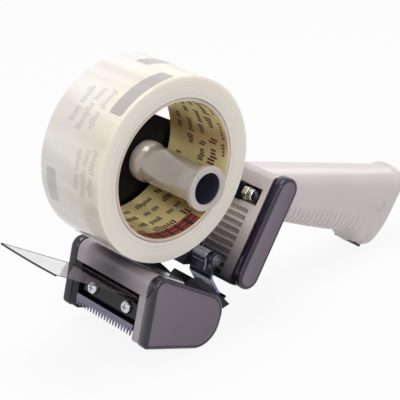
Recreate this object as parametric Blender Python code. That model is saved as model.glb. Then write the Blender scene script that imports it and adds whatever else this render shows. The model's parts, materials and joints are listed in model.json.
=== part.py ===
"""Hand-held packing tape dispenser holding a roll of clear tape. Metres, Z up.

The pieces are laid out in the tool's own plane: X runs from the head to the grip, Y from the open
side to the side plate, and the roll's centre is the zero point. The finished tool is then turned
about Y and set down, so that it stands on the heel of its head and on the butt of its grip, with
the origin under the middle of its box.
"""
import math

import bmesh
import bpy
import numpy as np
from mathutils import Matrix, Vector

MM = 0.001

# Clearances
SEAT_GAP = 0.3 * MM
RUN_GAP = 0.6 * MM
OVERRUN = 4.0 * MM

# Facets
CORNER_STEPS = 5
ROUND_STEPS = 36
SMALL_ROUND_STEPS = 16
SHARP_ANGLE = math.radians(32)

# Screw and rivet heads: crown radius, and shoulder radius and height, as shares of the head
HEAD_CROWN_SHARE = 0.70
HEAD_SHOULDER_SHARES = (0.93, 0.35)

# Roll of tape on its core
CORE_BORE_RADIUS = 38.1 * MM
CORE_WALL = 1.6 * MM
WOUND_DEPTH = 11.7 * MM
TAPE_WIDTH = 48.0 * MM
ROLL_EDGE = 0.4 * MM

# Side plate behind the roll
PLATE_ROLL_GAP = 2.0 * MM
PLATE_THICKNESS = 2.0 * MM
PLATE_LEFT = 1.0 * MM
PLATE_PAST_FACE = 15.6 * MM
PLATE_TOP = 17.6 * MM
PLATE_ABOVE_BLOCK_FOOT = 1.5 * MM
# Corners as shares of the plate's length and height, and of its length for the radius
PLATE_CORNER_SHARES = (
    (1.00, 0.25, 0.06), (0.80, 0.13, 0.12), (0.26, 0.00, 0.10), (0.00, 0.08, 0.16),
    (0.01, 0.71, 0.16), (0.44, 0.75, 0.07), (0.505, 0.945, 0.045), (0.66, 1.00, 0.05),
    (0.79, 1.00, 0.06),
)

# Hub
HUB_RADIUS = 10.9 * MM
HUB_BORE_RADIUS = 8.9 * MM
HUB_SHOULDER_RADIUS = 12.0 * MM
HUB_SHOULDER_LENGTH = 6.5 * MM
HUB_FLANGE_RADIUS = 12.9 * MM
HUB_FLANGE_THICKNESS = 2.6 * MM
HUB_NECK_RADIUS = 11.5 * MM
HUB_NECK_LENGTH = 1.6 * MM
HUB_FLOOR = 3.2 * MM
HUB_EDGE = 0.6 * MM
HUB_ANGLE = math.radians(-20.5)
HUB_SCREW_RADIUS = 2.5 * MM
HUB_SCREW_HEAD_RADIUS = 4.8 * MM
HUB_SCREW_HEAD_HEIGHT = 2.8 * MM
HUB_NUT_RADIUS = 4.6 * MM
HUB_NUT_HEIGHT = 4.0 * MM

# Block between the roll and the grip
BLOCK_ROLL_GAP = 19.7 * MM
BLOCK_TOP = -1.5 * MM
BLOCK_BELOW_PIVOT = 14.0 * MM
BLOCK_LEAN_SHARE = 0.285
BLOCK_DEPTH = 16.4 * MM
BLOCK_TOE = 4.2 * MM
BLOCK_EDGE = 0.8 * MM
BLOCK_TOP_RADIUS = 3.0 * MM
BLOCK_TOE_RADIUS = 2.0 * MM
BLOCK_HEEL_RADIUS = 8.0 * MM
BLOCK_BACK_RADIUS = 8.0 * MM

# Slot and ribs in the front of the block
SLOT_DROP = 8.7 * MM
SLOT_HEIGHT = 9.6 * MM
SLOT_DEPTH = 10.5 * MM
SLOT_NEAR_WALL = 4.1 * MM
SLOT_FAR_WALL = 7.7 * MM
RIB_COUNT = 10
RIB_THICKNESS_SHARE = 0.38
RIB_DEPTH = 2.6 * MM
RIB_NEAR_WALL = 7.7 * MM
RIB_FAR_WALL = 4.2 * MM
RIB_DROP = 2.0 * MM
RIB_ABOVE_BLOCK_FOOT = 6.0 * MM

# Bolt in the slot, with what it carries
SLOT_BOLT_RADIUS = 2.0 * MM
SLOT_BOLT_PROUD = 0.9 * MM
SLOT_BOLT_HOLE_DEPTH = 6.5 * MM
SLOT_NUT_RADIUS = 4.2 * MM
SLOT_NUT_HEIGHT = 3.6 * MM
SLOT_COLLAR_RADIUS = 3.6 * MM
SLOT_COLLAR_LENGTH = 3.5 * MM
SLOT_DOME_RADIUS = 3.3 * MM
SLOT_DOME_LENGTH = 3.6 * MM
SLOT_DOME_SOCKET = 1.6 * MM
SLOT_BLOCK_PROUD = 1.8 * MM
COLLAR_EDGE_SHARE = 0.33
DOME_ROUND_SHARE = 0.75

# End caps of the block
CAP_RADIUS = 8.0 * MM
CAP_THICKNESS = 6.2 * MM
CAP_WALL = 2.2 * MM
CAP_EDGE = 1.7 * MM
CAP_CENTRE_SETBACK = 8.6 * MM
CAP_DROP = 6.5 * MM
CAP_ABOVE_BLOCK_FOOT = 9.8 * MM
CAP_ROUNDNESS_SHARE = 0.98
PLATE_SCREW_RADIUS = 1.9 * MM
PLATE_SCREW_HEAD_RADIUS = 3.6 * MM
PLATE_SCREW_HEAD_HEIGHT = 2.2 * MM
PLATE_SCREW_LENGTH = 10.0 * MM
PLATE_SCREW_SHARES = (0.22, 0.80)

# Grip
GRIP_LENGTH = 130.7 * MM
GRIP_BELOW_BLOCK_TOP = 1.2 * MM
GRIP_OVER_BLOCK = 9.0 * MM
GRIP_HALF_WIDTH = 15.5 * MM
GRIP_DROP = 52.1 * MM
GRIP_LEAN_DROP = 17.3 * MM
GRIP_LEAN_RUN = 26.0 * MM
GRIP_ROUNDNESS_SHARE = 0.74
GRIP_POINTS = 22
# Place along the grip, then its top and its bottom as shares of the drop, and its width share
GRIP_SHARES = (
    (0.000, 0.000, 0.580, 0.97), (0.100, 0.000, 0.610, 0.99), (0.225, 0.000, 0.652, 1.00),
    (0.392, 0.000, 0.712, 1.00), (0.560, 0.000, 0.764, 1.00), (0.712, 0.000, 0.812, 1.00),
    (0.728, 0.000, 0.845, 1.00), (0.748, 0.000, 0.905, 1.00), (0.800, 0.000, 0.955, 1.00),
    (0.848, 0.000, 1.000, 0.99), (0.872, 0.000, 0.985, 0.98), (0.902, 0.000, 0.900, 0.97),
    (0.925, 0.000, 0.780, 0.96), (0.950, -0.025, 0.560, 0.94), (0.975, -0.010, 0.330, 0.90),
    (0.990, 0.040, 0.210, 0.78), (1.000, 0.100, 0.150, 0.60),
)
GRIP_PLAIN_SECTIONS = 12
BUTT_CROWDING_SHARE = 1.5
RIDGE_COUNT = 19
RIDGE_PITCH = 4.3 * MM
RIDGE_DEPTH = 0.8 * MM
RIDGE_START_SHARE = 0.085
RIDGE_FADE_SHARE = -0.2

# Plug in the butt
PLUG_THICKNESS = 2.6 * MM
PLUG_HALF_WIDTH = 6.8 * MM
PLUG_PROUD = 0.8 * MM
PLUG_START_SHARES = (0.758, 0.905)
PLUG_END_SHARES = (0.842, 0.985)

# Head
HEAD_ROLL_GAP = 4.3 * MM
HEAD_LENGTH = 56.0 * MM
HEAD_HEIGHT = 43.2 * MM
HEAD_WALL = 5.4 * MM
HEAD_SKIN = 2.5 * MM
HEAD_PIVOT_SHARE = 1.0514
HEAD_INSET = 0.5 * MM
# Corners as shares of the head's length and height, and of its height for the radius. The first
# corner's height follows the tape that runs over the nose.
HEAD_CORNER_SHARES = (
    (0.000, 0.000, 0.156), (1.021, 0.319, 0.324), (0.984, 1.012, 0.347), (0.046, 0.935, 0.065),
)
NOSE_TAPE_GAP = 0.5 * MM
NOSE_LENGTH_SHARE = 0.235
LIP_SHARE = 0.300
POCKET_START_SHARE = 0.535
HEEL_STEP_SHARE = 0.15
FLOOR_START_SHARE = 0.300

# Tape on its way through the head
TAPE_THICKNESS = 0.4 * MM
TAPE_PITCH = math.radians(14.7)
SLIT_PROUD = 0.9 * MM
SLIT_DROP_SHARE = 0.338
WEB_END = 3.2 * MM
TAIL_LENGTH = 59.8 * MM
ROLLER_REACH_SHARE = 0.7411
ROLLER_RADIUS = 6.5 * MM
ROLLER_TYRE = 2.0 * MM
AXLE_RADIUS = 2.0 * MM
AXLE_END_PROUD = 1.8 * MM

# Black steel frame of the head
FRAME_SHEET = 1.5 * MM
FRAME_TAPE_GAP = 0.4 * MM
# Ends along the head's length, then top and bottom down its height
FRAME_LEFT_SHARE = 0.573
FRAME_RIGHT_SHARE = 1.282
FRAME_TOP_SHARE = 0.120
FRAME_BOTTOM_SHARE = 0.694
FRAME_CORNER_SHARES = (
    (0.000, 0.000, 0.125), (0.300, 0.008, 0.150), (0.850, 0.525, 0.0), (1.000, 0.680, 0.0),
    (0.835, 0.815, 0.0), (0.545, 0.850, 0.0), (0.415, 1.000, 0.0), (0.000, 1.000, 0.050),
)
CROSS_TOP_SHARES = (0.990, 0.540)
CROSS_BOTTOM_SHARES = (0.845, 0.800)
CROSS_NOTCH_SHARE = 0.50
CROSS_TOP_SETBACK = 2.0 * MM
POCKET_FLOOR_SHARE = 0.48

# Pivot of the head
PIVOT_STANDOFF = 5.3 * MM
PIVOT_ABOVE_HEAD = 2.5 * MM
PIVOT_PIN_RADIUS = 2.0 * MM
PIVOT_HEAD_RADIUS = 2.9 * MM
PIVOT_HEAD_HEIGHT = 1.4 * MM
PIVOT_CLIP_RADIUS = 3.4 * MM
PIVOT_CLIP_THICKNESS = 0.9 * MM
PIVOT_GROOVE_DEPTH = 0.5 * MM
PIVOT_BAR_NEAR_Y = -1.0 * MM
PIVOT_BAR_DEPTH = 9.0 * MM
PIVOT_BAR_ABOVE = 4.9 * MM
PIVOT_BAR_BELOW = 9.4 * MM
PIVOT_BAR_GROOVE = 1.6 * MM
STRAP_THICKNESS = 1.5 * MM
STRAP_SETBACK = 4.4 * MM
STRAP_EAR_RADIUS = 4.2 * MM
STRAP_LEG_OFFSET = 0.5 * MM
STRAP_LEG_TOP = 5.0 * MM
STRAP_LEG_BOTTOM = 11.2 * MM
STRAP_FOOT = 5.2 * MM
STRAP_BEND_STEPS = 4
STRAP_BEND_SHARE = 1.2
# Ear corners as shares of its radius, and the rivets' place along the foot
EAR_ROUNDNESS_SHARE = 0.90
EAR_LOW_SHARE = 0.60
RIVET_PLACE_SHARE = 0.62
RIVET_RADIUS = 1.3 * MM
RIVET_HEAD_RADIUS = 2.2 * MM
RIVET_HEAD_HEIGHT = 0.9 * MM
RIVET_SPREAD = 5.0 * MM
SPRING_WIRE_RADIUS = 0.6 * MM
SPRING_COIL_RADIUS = 3.6 * MM
SPRING_TURNS = 9
SPRING_POINTS_PER_TURN = 14
SPRING_LEG = 7.0 * MM
SPRING_LEG_STEPS = 3

# Blade, its clamp bar, its support and its screws
SUPPORT_SETBACK = 8.3 * MM
SUPPORT_DEPTH = 5.0 * MM
SUPPORT_EDGE = 1.0 * MM
BLADE_THICKNESS = 0.8 * MM
BLADE_REACH = 5.2 * MM
TOOTH_COUNT = 20
TOOTH_DEPTH = 5.0 * MM
TOOTH_LAND = 0.16 * MM
CLAMP_THICKNESS = 2.4 * MM
CLAMP_EDGE = 0.5 * MM
# Heights as shares of the head's height, from its top
SUPPORT_TOP_SHARE = 0.4514
SUPPORT_BOTTOM_SHARE = 0.7778
BLADE_TOP_SHARE = 0.5093
BLADE_LEDGE_SHARE = 0.7000
BLADE_TIP_SHARE = 0.8610
CLAMP_TOP_SHARE = 0.4630
CLAMP_BOTTOM_SHARE = 0.6620
BLADE_SCREW_DROP_SHARE = 0.5600
BLADE_SCREW_SPREAD_SHARE = 0.604
BLADE_SCREW_RADIUS = 1.5 * MM
BLADE_SCREW_HEAD_RADIUS = 3.8 * MM
BLADE_SCREW_HEAD_HEIGHT = 2.1 * MM
BLADE_SCREW_LENGTH = 4.2 * MM
RECESS_WIDTH = 0.8 * MM
RECESS_REACH = 1.7 * MM
RECESS_DEPTH = 1.2 * MM

# Across the tool: the tape in the middle, the head's walls and the plate outside it
HALF_TAPE = TAPE_WIDTH / 2
PLATE_INNER_Y = HALF_TAPE + PLATE_ROLL_GAP
PLATE_OUTER_Y = PLATE_INNER_Y + PLATE_THICKNESS
FRAME_INNER_Y = HALF_TAPE + FRAME_TAPE_GAP
FRAME_OUTER_Y = FRAME_INNER_Y + FRAME_SHEET
HEAD_WALL_INNER_Y = HALF_TAPE + RUN_GAP
HEAD_POCKET_Y = FRAME_OUTER_Y + FRAME_TAPE_GAP
HEAD_HALF_WIDTH = HEAD_WALL_INNER_Y + HEAD_WALL
CAP_INNER_Y = HEAD_HALF_WIDTH + SEAT_GAP
CROSS_TOP_HALF_WIDTH = HALF_TAPE - CROSS_TOP_SETBACK
ROLLER_HALF_LENGTH = HALF_TAPE - FRAME_TAPE_GAP
STRAP_NEAR_Y = STRAP_SETBACK - HALF_TAPE
BLOCK_NEAR_Y = -HEAD_HALF_WIDTH
BLOCK_FAR_Y = PLATE_INNER_Y - SEAT_GAP
SLOT_NEAR_Y = BLOCK_NEAR_Y + SLOT_NEAR_WALL
SLOT_FAR_Y = BLOCK_FAR_Y - SLOT_FAR_WALL
RIB_NEAR_Y = BLOCK_NEAR_Y + RIB_NEAR_WALL
RIB_FAR_Y = BLOCK_FAR_Y - RIB_FAR_WALL

# Round the roll: the head hangs below it, the block stands behind it
CORE_OUTER_RADIUS = CORE_BORE_RADIUS + CORE_WALL
ROLL_RADIUS = CORE_OUTER_RADIUS + SEAT_GAP + WOUND_DEPTH
HUB_REACH = CORE_BORE_RADIUS - HUB_SHOULDER_RADIUS - SEAT_GAP
HUB_X = HUB_REACH * math.cos(HUB_ANGLE)
HUB_Z = HUB_REACH * math.sin(HUB_ANGLE)
HEAD_TOP = -ROLL_RADIUS - HEAD_ROLL_GAP
PIVOT_Z = HEAD_TOP + PIVOT_ABOVE_HEAD
BLOCK_BOTTOM = PIVOT_Z - BLOCK_BELOW_PIVOT
BLOCK_FACE_TOP_X = ROLL_RADIUS + BLOCK_ROLL_GAP
PLATE_RIGHT = BLOCK_FACE_TOP_X + PLATE_PAST_FACE
PLATE_BOTTOM = BLOCK_BOTTOM + PLATE_ABOVE_BLOCK_FOOT
CAP_TOP_Z = BLOCK_TOP - CAP_DROP
CAP_BOTTOM_Z = BLOCK_BOTTOM + CAP_ABOVE_BLOCK_FOOT
SLOT_TOP = BLOCK_TOP - SLOT_DROP
RIB_TOP_Z = SLOT_TOP - SLOT_HEIGHT - RIB_DROP
RIB_PITCH = (RIB_TOP_Z - BLOCK_BOTTOM - RIB_ABOVE_BLOCK_FOOT) / RIB_COUNT
RIB_THICKNESS = RIB_PITCH * RIB_THICKNESS_SHARE
GRIP_TOP = BLOCK_TOP - GRIP_BELOW_BLOCK_TOP
GRIP_LEAN_MID_Z = GRIP_TOP - GRIP_LEAN_DROP


def block_face_x(z):
    """X of the block's leaning front face at a height."""
    return BLOCK_FACE_TOP_X + (z - BLOCK_TOP) * BLOCK_LEAN_SHARE


PIVOT_X = block_face_x(PIVOT_Z) - PIVOT_STANDOFF
SLOT_BOLT_Z = SLOT_TOP - SLOT_HEIGHT / 2
SLOT_BOLT_X = block_face_x(SLOT_BOLT_Z) + SLOT_BOLT_PROUD
GRIP_START_X = block_face_x(GRIP_LEAN_MID_Z) + BLOCK_DEPTH + SEAT_GAP

# In the head, from its front and its top
HEAD_FRONT = PIVOT_X - HEAD_PIVOT_SHARE * HEAD_LENGTH


def head_x(share):
    """X at a share of the head's length."""
    return HEAD_FRONT + share * HEAD_LENGTH


def head_z(share):
    """Z at a share of the head's height, from its top."""
    return HEAD_TOP - share * HEAD_HEIGHT


SLIT_X = HEAD_FRONT - SLIT_PROUD
SLIT_Z = head_z(SLIT_DROP_SHARE)
TAPE_LINE_GAP = SEAT_GAP + TAPE_THICKNESS / 2
WRAP_RADIUS = ROLLER_RADIUS + TAPE_LINE_GAP
ROLLER_REACH = ROLLER_REACH_SHARE * HEAD_LENGTH
ROLLER_X = SLIT_X + ROLLER_REACH * math.cos(TAPE_PITCH) + WRAP_RADIUS * math.sin(TAPE_PITCH)
ROLLER_Z = SLIT_Z - ROLLER_REACH * math.sin(TAPE_PITCH) + WRAP_RADIUS * math.cos(TAPE_PITCH)
FRAME_LEFT, FRAME_RIGHT = head_x(FRAME_LEFT_SHARE), head_x(FRAME_RIGHT_SHARE)
FRAME_TOP, FRAME_BOTTOM = head_z(FRAME_TOP_SHARE), head_z(FRAME_BOTTOM_SHARE)
SUPPORT_FRONT_X = HEAD_FRONT + SUPPORT_SETBACK
SUPPORT_TOP, SUPPORT_BOTTOM = head_z(SUPPORT_TOP_SHARE), head_z(SUPPORT_BOTTOM_SHARE)
BLADE_TOP, BLADE_LEDGE_Z = head_z(BLADE_TOP_SHARE), head_z(BLADE_LEDGE_SHARE)
BLADE_TIP_Z = head_z(BLADE_TIP_SHARE)
CLAMP_TOP, CLAMP_BOTTOM = head_z(CLAMP_TOP_SHARE), head_z(CLAMP_BOTTOM_SHARE)
BLADE_SCREW_Y = BLADE_SCREW_SPREAD_SHARE * HALF_TAPE
BLADE_SCREW_Z = head_z(BLADE_SCREW_DROP_SHARE)


# Outlines

def rounded(corners):
    """Outline through corners (x, z, radius), each corner an arc of that radius."""
    points = []
    for index, (x, z, radius) in enumerate(corners):
        corner = Vector((x, z))
        if radius <= 0:
            points.append(corner)
            continue
        before = (Vector(corners[index - 1][:2]) - corner).normalized()
        after = (Vector(corners[(index + 1) % len(corners)][:2]) - corner).normalized()
        half = before.angle(after) / 2
        centre = corner + (before + after).normalized() * (radius / math.sin(half))
        start = corner + before * (radius / math.tan(half)) - centre
        end = corner + after * (radius / math.tan(half)) - centre
        turn = start.angle_signed(end)
        for step in range(CORNER_STEPS + 1):
            angle = -turn * step / CORNER_STEPS
            points.append(centre + Matrix.Rotation(angle, 2) @ start)
    return points


def inset(corners, distance):
    """The same corners with every side moved inwards by a distance."""
    area = 0.0
    for (x0, z0, _), (x1, z1, _) in zip(corners, corners[1:] + corners[:1]):
        area += x0 * z1 - x1 * z0
    side = 1.0 if area > 0 else -1.0
    moved = []
    for index, (x, z, radius) in enumerate(corners):
        before = (Vector((x, z)) - Vector(corners[index - 1][:2])).normalized()
        after = (Vector(corners[(index + 1) % len(corners)][:2]) - Vector((x, z))).normalized()
        normal_before = Vector((-before.y, before.x)) * side
        normal_after = Vector((-after.y, after.x)) * side
        bisector = (normal_before + normal_after).normalized()
        reach = distance / max(bisector.dot(normal_after), 0.2)
        point = Vector((x, z)) + bisector * reach
        moved.append((point.x, point.y, max(radius - distance, radius / 4)))
    return moved


def placed_corners(shares, left, top, length, height, radius_base):
    """Corners given as shares of a box from its top left corner, and radii of their own base."""
    return [(left + x * length, top - z * height, r * radius_base) for x, z, r in shares]


def circle(x, z, radius, steps=SMALL_ROUND_STEPS):
    """Round outline."""
    angles = [2 * math.pi * step / steps for step in range(steps)]
    return [Vector((x + radius * math.cos(a), z + radius * math.sin(a))) for a in angles]


def hexagon(x, z, radius):
    """Outline of a hexagon nut, by the radius of its corners."""
    return circle(x, z, radius, 6)


def sheet_section(path, thickness):
    """Closed outline of a sheet that follows a path with its middle line."""
    path = [Vector(point) for point in path]
    left, right = [], []
    for index, point in enumerate(path):
        before = (point - path[index - 1]).normalized() if index else None
        after = (path[index + 1] - point).normalized() if index + 1 < len(path) else None
        before = before or after
        after = after or before
        normal = (Vector((-before.y, before.x)) + Vector((-after.y, after.x))).normalized()
        reach = thickness / 2 / max(normal.dot(Vector((-after.y, after.x))), 0.5)
        left.append(point + normal * reach)
        right.append(point - normal * reach)
    return left + right[::-1]


# Solids

def add_object(name, mesh_data, parent):
    """New object in the tool's own coordinates, under the empty that carries it."""
    for old in mesh_data.polygons:
        old.use_smooth = True
    mesh_data.set_sharp_from_angle(angle=SHARP_ANGLE)
    item = bpy.data.objects.new(name, mesh_data)
    bpy.context.scene.collection.objects.link(item)
    item.parent = parent
    item.location = -Vector(parent.get("axis_place", (0, 0, 0)))
    return item


def finish(name, solid, parent):
    """Turn the faces of a bmesh outwards and make it an object."""
    bmesh.ops.recalc_face_normals(solid, faces=solid.faces)
    mesh_data = bpy.data.meshes.new(name)
    solid.to_mesh(mesh_data)
    solid.free()
    return add_object(name, mesh_data, parent)


def add_loft(solid, loops):
    """Skin through closed loops of equally many points, with both ends closed."""
    rings = [[solid.verts.new(point) for point in loop] for loop in loops]
    count = len(rings[0])
    for lower, upper in zip(rings, rings[1:]):
        for i in range(count):
            j = (i + 1) % count
            solid.faces.new((lower[i], lower[j], upper[j], upper[i]))
    solid.faces.new(rings[0][::-1])
    solid.faces.new(rings[-1])


def loft(name, levels, parent):
    """Solid through outlines in X and Z, each at its own Y."""
    solid = bmesh.new()
    add_loft(solid, [[(p[0], y, p[1]) for p in outline] for outline, y in levels])
    return finish(name, solid, parent)


def prism(name, outline, y0, y1, parent):
    """Outline in X and Z, extruded along Y."""
    return loft(name, [(outline, y0), (outline, y1)], parent)


def edged_prism(name, corners, y0, y1, edge, parent):
    """Extruded corners with a chamfer round both ends."""
    full, small = rounded(corners), rounded(inset(corners, edge))
    levels = [(small, y0), (full, y0 + edge), (full, y1 - edge), (small, y1)]
    return loft(name, levels, parent)


def add_turned(solid, profile, place, axis_turn=None, steps=SMALL_ROUND_STEPS):
    """Body turned about an axis along Y; the profile is a closed loop of (radius, y)."""
    matrix = Matrix.Translation(place) @ (axis_turn or Matrix.Identity(4))
    rings = []
    for radius, y in profile:
        if radius == 0:
            rings.append([solid.verts.new(matrix @ Vector((0, y, 0)))] * steps)
            continue
        ring = []
        for step in range(steps):
            a = 2 * math.pi * step / steps
            point = Vector((radius * math.cos(a), y, radius * math.sin(a)))
            ring.append(solid.verts.new(matrix @ point))
        rings.append(ring)
    closed = profile[0][0] != 0
    pairs = list(zip(rings, rings[1:])) + ([(rings[-1], rings[0])] if closed else [])
    for first, second in pairs:
        for i in range(steps):
            j = (i + 1) % steps
            corners = []
            for vertex in (first[i], first[j], second[j], second[i]):
                if vertex not in corners:
                    corners.append(vertex)
            if len(corners) > 2:
                solid.faces.new(corners)


def turned(name, profile, x, z, parent, steps=SMALL_ROUND_STEPS):
    """Turned object about an axis along Y through (x, z)."""
    solid = bmesh.new()
    add_turned(solid, profile, Vector((x, 0, z)), None, steps)
    return finish(name, solid, parent)


def cutter(item):
    """Mark an object as a shape that only cuts or adds to another."""
    item.hide_render = True
    item.display_type = 'WIRE'
    return item


def combine(item, other, operation):
    """Boolean of an object with a helper shape."""
    modifier = item.modifiers.new(other.name, 'BOOLEAN')
    modifier.operation = operation
    modifier.object = cutter(other)


def cut_round_hole(item, name, x, z, radius, y0, y1, parent):
    """Round hole along Y."""
    hole = prism(name, circle(x, z, radius), y0, y1, parent)
    combine(item, hole, 'DIFFERENCE')


def empty(name, place, parent=None):
    """Empty that carries pieces, at a place in the tool's own coordinates."""
    item = bpy.data.objects.new(name, None)
    bpy.context.scene.collection.objects.link(item)
    item["axis_place"] = place
    item.parent = parent
    start = Vector(parent["axis_place"]) if parent else Vector((0, 0, 0))
    item.location = Vector(place) - start
    return item


def paint(item, colour, roughness, metallic=0.0):
    """Give an object a material of its own."""
    material = bpy.data.materials.new(item.name)
    material.use_nodes = True
    shader = material.node_tree.nodes["Principled BSDF"]
    shader.inputs["Base Color"].default_value = (*colour, 1.0)
    shader.inputs["Roughness"].default_value = roughness
    shader.inputs["Metallic"].default_value = metallic
    item.data.materials.append(material)


GREY = (0.56, 0.53, 0.52)
DARK_GREY = (0.30, 0.29, 0.29)
PLUM = (0.16, 0.13, 0.15)
BLACK = (0.015, 0.015, 0.018)
STEEL = (0.60, 0.60, 0.60)
CARD = (0.62, 0.50, 0.22)
CLEAR = (0.80, 0.77, 0.66)


# The roll and the hub

def make_roll(carrier):
    """Cardboard core with the wound tape on it."""
    core = [
        (CORE_BORE_RADIUS, -HALF_TAPE), (CORE_OUTER_RADIUS, -HALF_TAPE),
        (CORE_OUTER_RADIUS, HALF_TAPE), (CORE_BORE_RADIUS, HALF_TAPE),
    ]
    paint(turned("tape_core", core, 0, 0, carrier, ROUND_STEPS), CARD, 0.7)
    inner = CORE_OUTER_RADIUS + SEAT_GAP
    wound = [
        (inner, -HALF_TAPE), (ROLL_RADIUS - ROLL_EDGE, -HALF_TAPE),
        (ROLL_RADIUS, -HALF_TAPE + ROLL_EDGE), (ROLL_RADIUS, HALF_TAPE - ROLL_EDGE),
        (ROLL_RADIUS - ROLL_EDGE, HALF_TAPE), (inner, HALF_TAPE),
    ]
    paint(turned("tape_roll", wound, 0, 0, carrier, 2 * ROUND_STEPS), CLEAR, 0.2)


def make_hub(carrier):
    """Flanged tube that the core hangs on, with a floor for its screw."""
    base = PLATE_INNER_Y - SEAT_GAP
    shoulder = base - HUB_SHOULDER_LENGTH
    flange_back = -HALF_TAPE - RUN_GAP
    flange_face = flange_back - HUB_FLANGE_THICKNESS
    fillet = HUB_SHOULDER_RADIUS - HUB_RADIUS
    hole = HUB_SCREW_RADIUS + SEAT_GAP
    profile = [
        (hole, base), (HUB_SHOULDER_RADIUS - HUB_EDGE, base),
        (HUB_SHOULDER_RADIUS, base - HUB_EDGE), (HUB_SHOULDER_RADIUS, shoulder + fillet),
        (HUB_SHOULDER_RADIUS - fillet / 4, shoulder), (HUB_RADIUS, shoulder - fillet * 2),
        (HUB_RADIUS, flange_back + HUB_NECK_LENGTH + HUB_EDGE),
        (HUB_NECK_RADIUS, flange_back + HUB_NECK_LENGTH), (HUB_NECK_RADIUS, flange_back),
        (HUB_FLANGE_RADIUS - HUB_EDGE, flange_back), (HUB_FLANGE_RADIUS, flange_back - HUB_EDGE),
        (HUB_FLANGE_RADIUS, flange_face + HUB_EDGE), (HUB_FLANGE_RADIUS - HUB_EDGE, flange_face),
        (HUB_BORE_RADIUS + HUB_EDGE, flange_face), (HUB_BORE_RADIUS, flange_face + HUB_EDGE),
        (HUB_BORE_RADIUS, base - HUB_FLOOR), (hole, base - HUB_FLOOR),
    ]
    paint(turned("hub_sleeve", profile, HUB_X, HUB_Z, carrier, ROUND_STEPS), GREY, 0.35)


def make_hub_fasteners(carrier):
    """Screw through the hub's floor and the side plate, with its nut behind the plate."""
    seat = PLATE_INNER_Y - SEAT_GAP - HUB_FLOOR - SEAT_GAP
    top = seat - HUB_SCREW_HEAD_HEIGHT
    end = PLATE_OUTER_Y + SEAT_GAP + HUB_NUT_HEIGHT + SEAT_GAP
    screw = [
        (0, top), (HUB_SCREW_HEAD_RADIUS * HEAD_CROWN_SHARE, top),
        (HUB_SCREW_HEAD_RADIUS, seat - HUB_SCREW_HEAD_HEIGHT / 2), (HUB_SCREW_HEAD_RADIUS, seat),
        (HUB_SCREW_RADIUS, seat), (HUB_SCREW_RADIUS, end), (0, end),
    ]
    paint(turned("hub_screw", screw, HUB_X, HUB_Z, carrier), STEEL, 0.3, 1.0)
    start = PLATE_OUTER_Y + SEAT_GAP
    nut = prism("hub_nut", hexagon(HUB_X, HUB_Z, HUB_NUT_RADIUS), start,
                start + HUB_NUT_HEIGHT, carrier)
    cut_round_hole(nut, "hub_nut_hole", HUB_X, HUB_Z, HUB_SCREW_RADIUS + SEAT_GAP,
                   start - OVERRUN, start + HUB_NUT_HEIGHT + OVERRUN, carrier)
    paint(nut, STEEL, 0.3, 1.0)


def plate_corners():
    """Corners of the side plate."""
    length = PLATE_RIGHT - PLATE_LEFT
    return placed_corners(PLATE_CORNER_SHARES, PLATE_LEFT, PLATE_TOP, length,
                          PLATE_TOP - PLATE_BOTTOM, length)


def plate_screw_places():
    """Places of the screws that hold the side plate, along the middle of the end cap."""
    places = []
    for share in PLATE_SCREW_SHARES:
        z = CAP_TOP_Z + share * (CAP_BOTTOM_Z - CAP_TOP_Z)
        places.append((cap_centre_x(z), z))
    return places


def make_side_plate(carrier):
    """Steel plate with holes for the hub screw, the pivot pin and its own screws."""
    plate = prism("side_plate", rounded(plate_corners()), PLATE_INNER_Y, PLATE_OUTER_Y, carrier)
    holes = [("hub", HUB_X, HUB_Z, HUB_SCREW_RADIUS), ("pivot", PIVOT_X, PIVOT_Z, PIVOT_PIN_RADIUS)]
    for number, (x, z) in enumerate(plate_screw_places()):
        holes.append((f"screw_{number}", x, z, PLATE_SCREW_RADIUS))
    for name, x, z, radius in holes:
        cut_round_hole(plate, f"plate_hole_{name}", x, z, radius + SEAT_GAP,
                       PLATE_INNER_Y - OVERRUN, PLATE_OUTER_Y + OVERRUN, carrier)
    paint(plate, BLACK, 0.35, 0.6)


def make_plate_screws(carrier):
    """Pan head screws that hold the side plate on the block, under the far end cap."""
    head = PLATE_OUTER_Y + SEAT_GAP
    top = head + PLATE_SCREW_HEAD_HEIGHT
    end = head - PLATE_SCREW_LENGTH
    profile = [
        (0, end), (PLATE_SCREW_RADIUS, end), (PLATE_SCREW_RADIUS, head),
        (PLATE_SCREW_HEAD_RADIUS, head), (PLATE_SCREW_HEAD_RADIUS, (head + top) / 2),
        (PLATE_SCREW_HEAD_RADIUS * HEAD_CROWN_SHARE, top), (0, top),
    ]
    for name, (x, z) in zip(("plate_screw_upper", "plate_screw_lower"), plate_screw_places()):
        paint(turned(name, profile, x, z, carrier), STEEL, 0.3, 1.0)


# The block with its slot, ribs and end caps

def block_corners():
    """Corners of the block: leaning front and back, a short toe and a round heel."""
    toe_z = BLOCK_BOTTOM + BLOCK_TOE
    return [
        (block_face_x(BLOCK_TOP), BLOCK_TOP, BLOCK_TOP_RADIUS),
        (block_face_x(BLOCK_TOP) + BLOCK_DEPTH, BLOCK_TOP, BLOCK_BACK_RADIUS),
        (block_face_x(BLOCK_BOTTOM) + BLOCK_DEPTH, BLOCK_BOTTOM, BLOCK_HEEL_RADIUS),
        (block_face_x(toe_z), toe_z, BLOCK_TOE_RADIUS),
    ]


def add_leaning_box(solid, z_top, z_bottom, proud, depth, y0, y1):
    """Box that follows the block's leaning face, from in front of it to a depth behind it."""
    outline = [
        (block_face_x(z_top) - proud, z_top), (block_face_x(z_top) + depth, z_top),
        (block_face_x(z_bottom) + depth, z_bottom), (block_face_x(z_bottom) - proud, z_bottom),
    ]
    add_loft(solid, [[(x, y, z) for x, z in outline] for y in (y0, y1)])


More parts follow.
